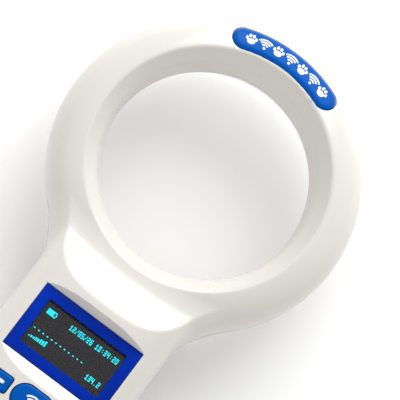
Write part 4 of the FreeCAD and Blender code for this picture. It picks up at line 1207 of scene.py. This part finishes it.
class SCANNER_OT_inner_parts(bpy.types.Operator):
    """Give every carried-over part inside the case its own finish."""
    bl_idname = "scanner.inner_parts"
    bl_label = "Inner parts"

    def execute(self, context):
        for part in frame["record"]["subparts"]:
            node = frame["nodes"][part["node"]]
            if node.hide_render:
                continue
            node.data.materials.clear()
            node.data.materials.append(FINISHES[part["material_slot"]])
        return {"FINISHED"}


FLOOR_REACH = 3000
FLOOR_HEIGHT = -0.05
# Each lamp's place and size in metres, and its power in watts.
LAMPS = (("key_light", (-0.07, 0.88, 0.48), 0.8, 8.5), ("fill_light", (-0.6, -0.3, 0.8), 0.7, 0.6))


class SCANNER_OT_stage(bpy.types.Operator):
    """Set the pale floor, the soft light and the camera."""
    bl_idname = "scanner.stage"
    bl_label = "Stage"

    def execute(self, context):
        floor_material, _ = new_material("stage white", (0.97, 0.97, 0.97), 0.9)
        corners = ((-1, -1), (1, -1), (1, 1), (-1, 1))
        floor = mesh_object("stage_floor", [(side * FLOOR_REACH, end * FLOOR_REACH, FLOOR_HEIGHT)
                                            for side, end in corners], [(0, 1, 2, 3)])
        floor.data.materials.append(floor_material)
        world = bpy.data.worlds.new("soft room")
        world.use_nodes = True
        background = world.node_tree.nodes["Background"]
        background.inputs["Color"].default_value = (1, 1, 1, 1)
        background.inputs["Strength"].default_value = 0.725
        context.scene.world = world
        context.scene.view_settings.view_transform = "Standard"
        centre = Vector((0, RING_MIDDLE * MM * 0.3, PARTING * MM))
        for name, place, size, power in LAMPS:
            lamp = bpy.data.lights.new(name, "AREA")
            lamp.energy = power
            lamp.size = size
            light = bpy.data.objects.new(name, lamp)
            light.location = Vector(place)
            light.rotation_euler = (centre - light.location).to_track_quat("-Z", "Y").to_euler()
            context.collection.objects.link(light)
        add_camera(context)
        return {"FINISHED"}


CAMERA_TILT = math.radians(12.9)
CAMERA_ROLL = math.radians(37.0)
CAMERA_DISTANCE = 0.62
VIEW_WIDTH = 103.4
RING_IN_VIEW = (1.15, 6.45)


def add_camera(context):
    """Look down on the display face from the handle's side, with the ring up and to the right."""
    toward = Vector((0, math.sin(CAMERA_TILT), -math.cos(CAMERA_TILT)))
    up_plain = Vector((0, math.cos(CAMERA_TILT), math.sin(CAMERA_TILT)))
    across = Vector((1, 0, 0))
    right = across * math.cos(CAMERA_ROLL) + up_plain * math.sin(CAMERA_ROLL)
    upward = up_plain * math.cos(CAMERA_ROLL) - across * math.sin(CAMERA_ROLL)
    ring = Vector((0, RING_MIDDLE, PARTING)) * MM
    target = ring - (right * RING_IN_VIEW[0] + upward * RING_IN_VIEW[1]) * MM
    camera_data = bpy.data.cameras.new("view")
    camera_data.sensor_width = 36
    camera_data.lens = 36 * CAMERA_DISTANCE / (VIEW_WIDTH * MM)
    camera_data.clip_start = 0.02
    camera = bpy.data.objects.new("view", camera_data)
    rotation = Matrix((right, upward, -toward)).transposed()
    camera.matrix_world = Matrix.Translation(target - toward * CAMERA_DISTANCE) @ rotation.to_4x4()
    context.collection.objects.link(camera)
    context.scene.camera = camera


OPERATORS = (
    SCANNER_OT_front_cover, SCANNER_OT_rear_cover, SCANNER_OT_badge, SCANNER_OT_keys, SCANNER_OT_window,
    SCANNER_OT_display, SCANNER_OT_marks, SCANNER_OT_screws, SCANNER_OT_coil, SCANNER_OT_inner_parts,
    SCANNER_OT_stage,
)
GROUPS = (ScannerCase, ScannerFace, ScannerColours)


class SCANNER_PT_panel(bpy.types.Panel):
    """Lists the scanner's pieces and their sizes."""
    bl_idname = "SCANNER_PT_panel"
    bl_label = "Microchip scanner"
    bl_space_type = "VIEW_3D"
    bl_region_type = "UI"
    bl_category = "Scanner"

    def draw(self, context):
        for operator in OPERATORS:
            self.layout.operator(operator.bl_idname)
        scene = context.scene
        for settings in (scene.scanner_case, scene.scanner_face, scene.scanner_colours):
            box = self.layout.box()
            for name in settings.__annotations__:
                box.prop(settings, name)


def register():
    for item in (*GROUPS, *OPERATORS, SCANNER_PT_panel):
        bpy.utils.register_class(item)
    bpy.types.Scene.scanner_case = PointerProperty(type=ScannerCase)
    bpy.types.Scene.scanner_face = PointerProperty(type=ScannerFace)
    bpy.types.Scene.scanner_colours = PointerProperty(type=ScannerColours)


def unregister():
    del bpy.types.Scene.scanner_case
    del bpy.types.Scene.scanner_face
    del bpy.types.Scene.scanner_colours
    for item in reversed((*GROUPS, *OPERATORS, SCANNER_PT_panel)):
        bpy.utils.unregister_class(item)


def main():
    register()
    FINISHES.update(make_finishes(bpy.context.scene.scanner_colours))
    bpy.ops.scanner.front_cover()
    bpy.ops.scanner.rear_cover()
    bpy.ops.scanner.badge()
    bpy.ops.scanner.keys()
    bpy.ops.scanner.window()
    bpy.ops.scanner.display()
    bpy.ops.scanner.marks()
    bpy.ops.scanner.screws()
    bpy.ops.scanner.coil()
    bpy.ops.scanner.inner_parts()
    bpy.ops.scanner.stage()


if __name__ == "__main__":
    main()
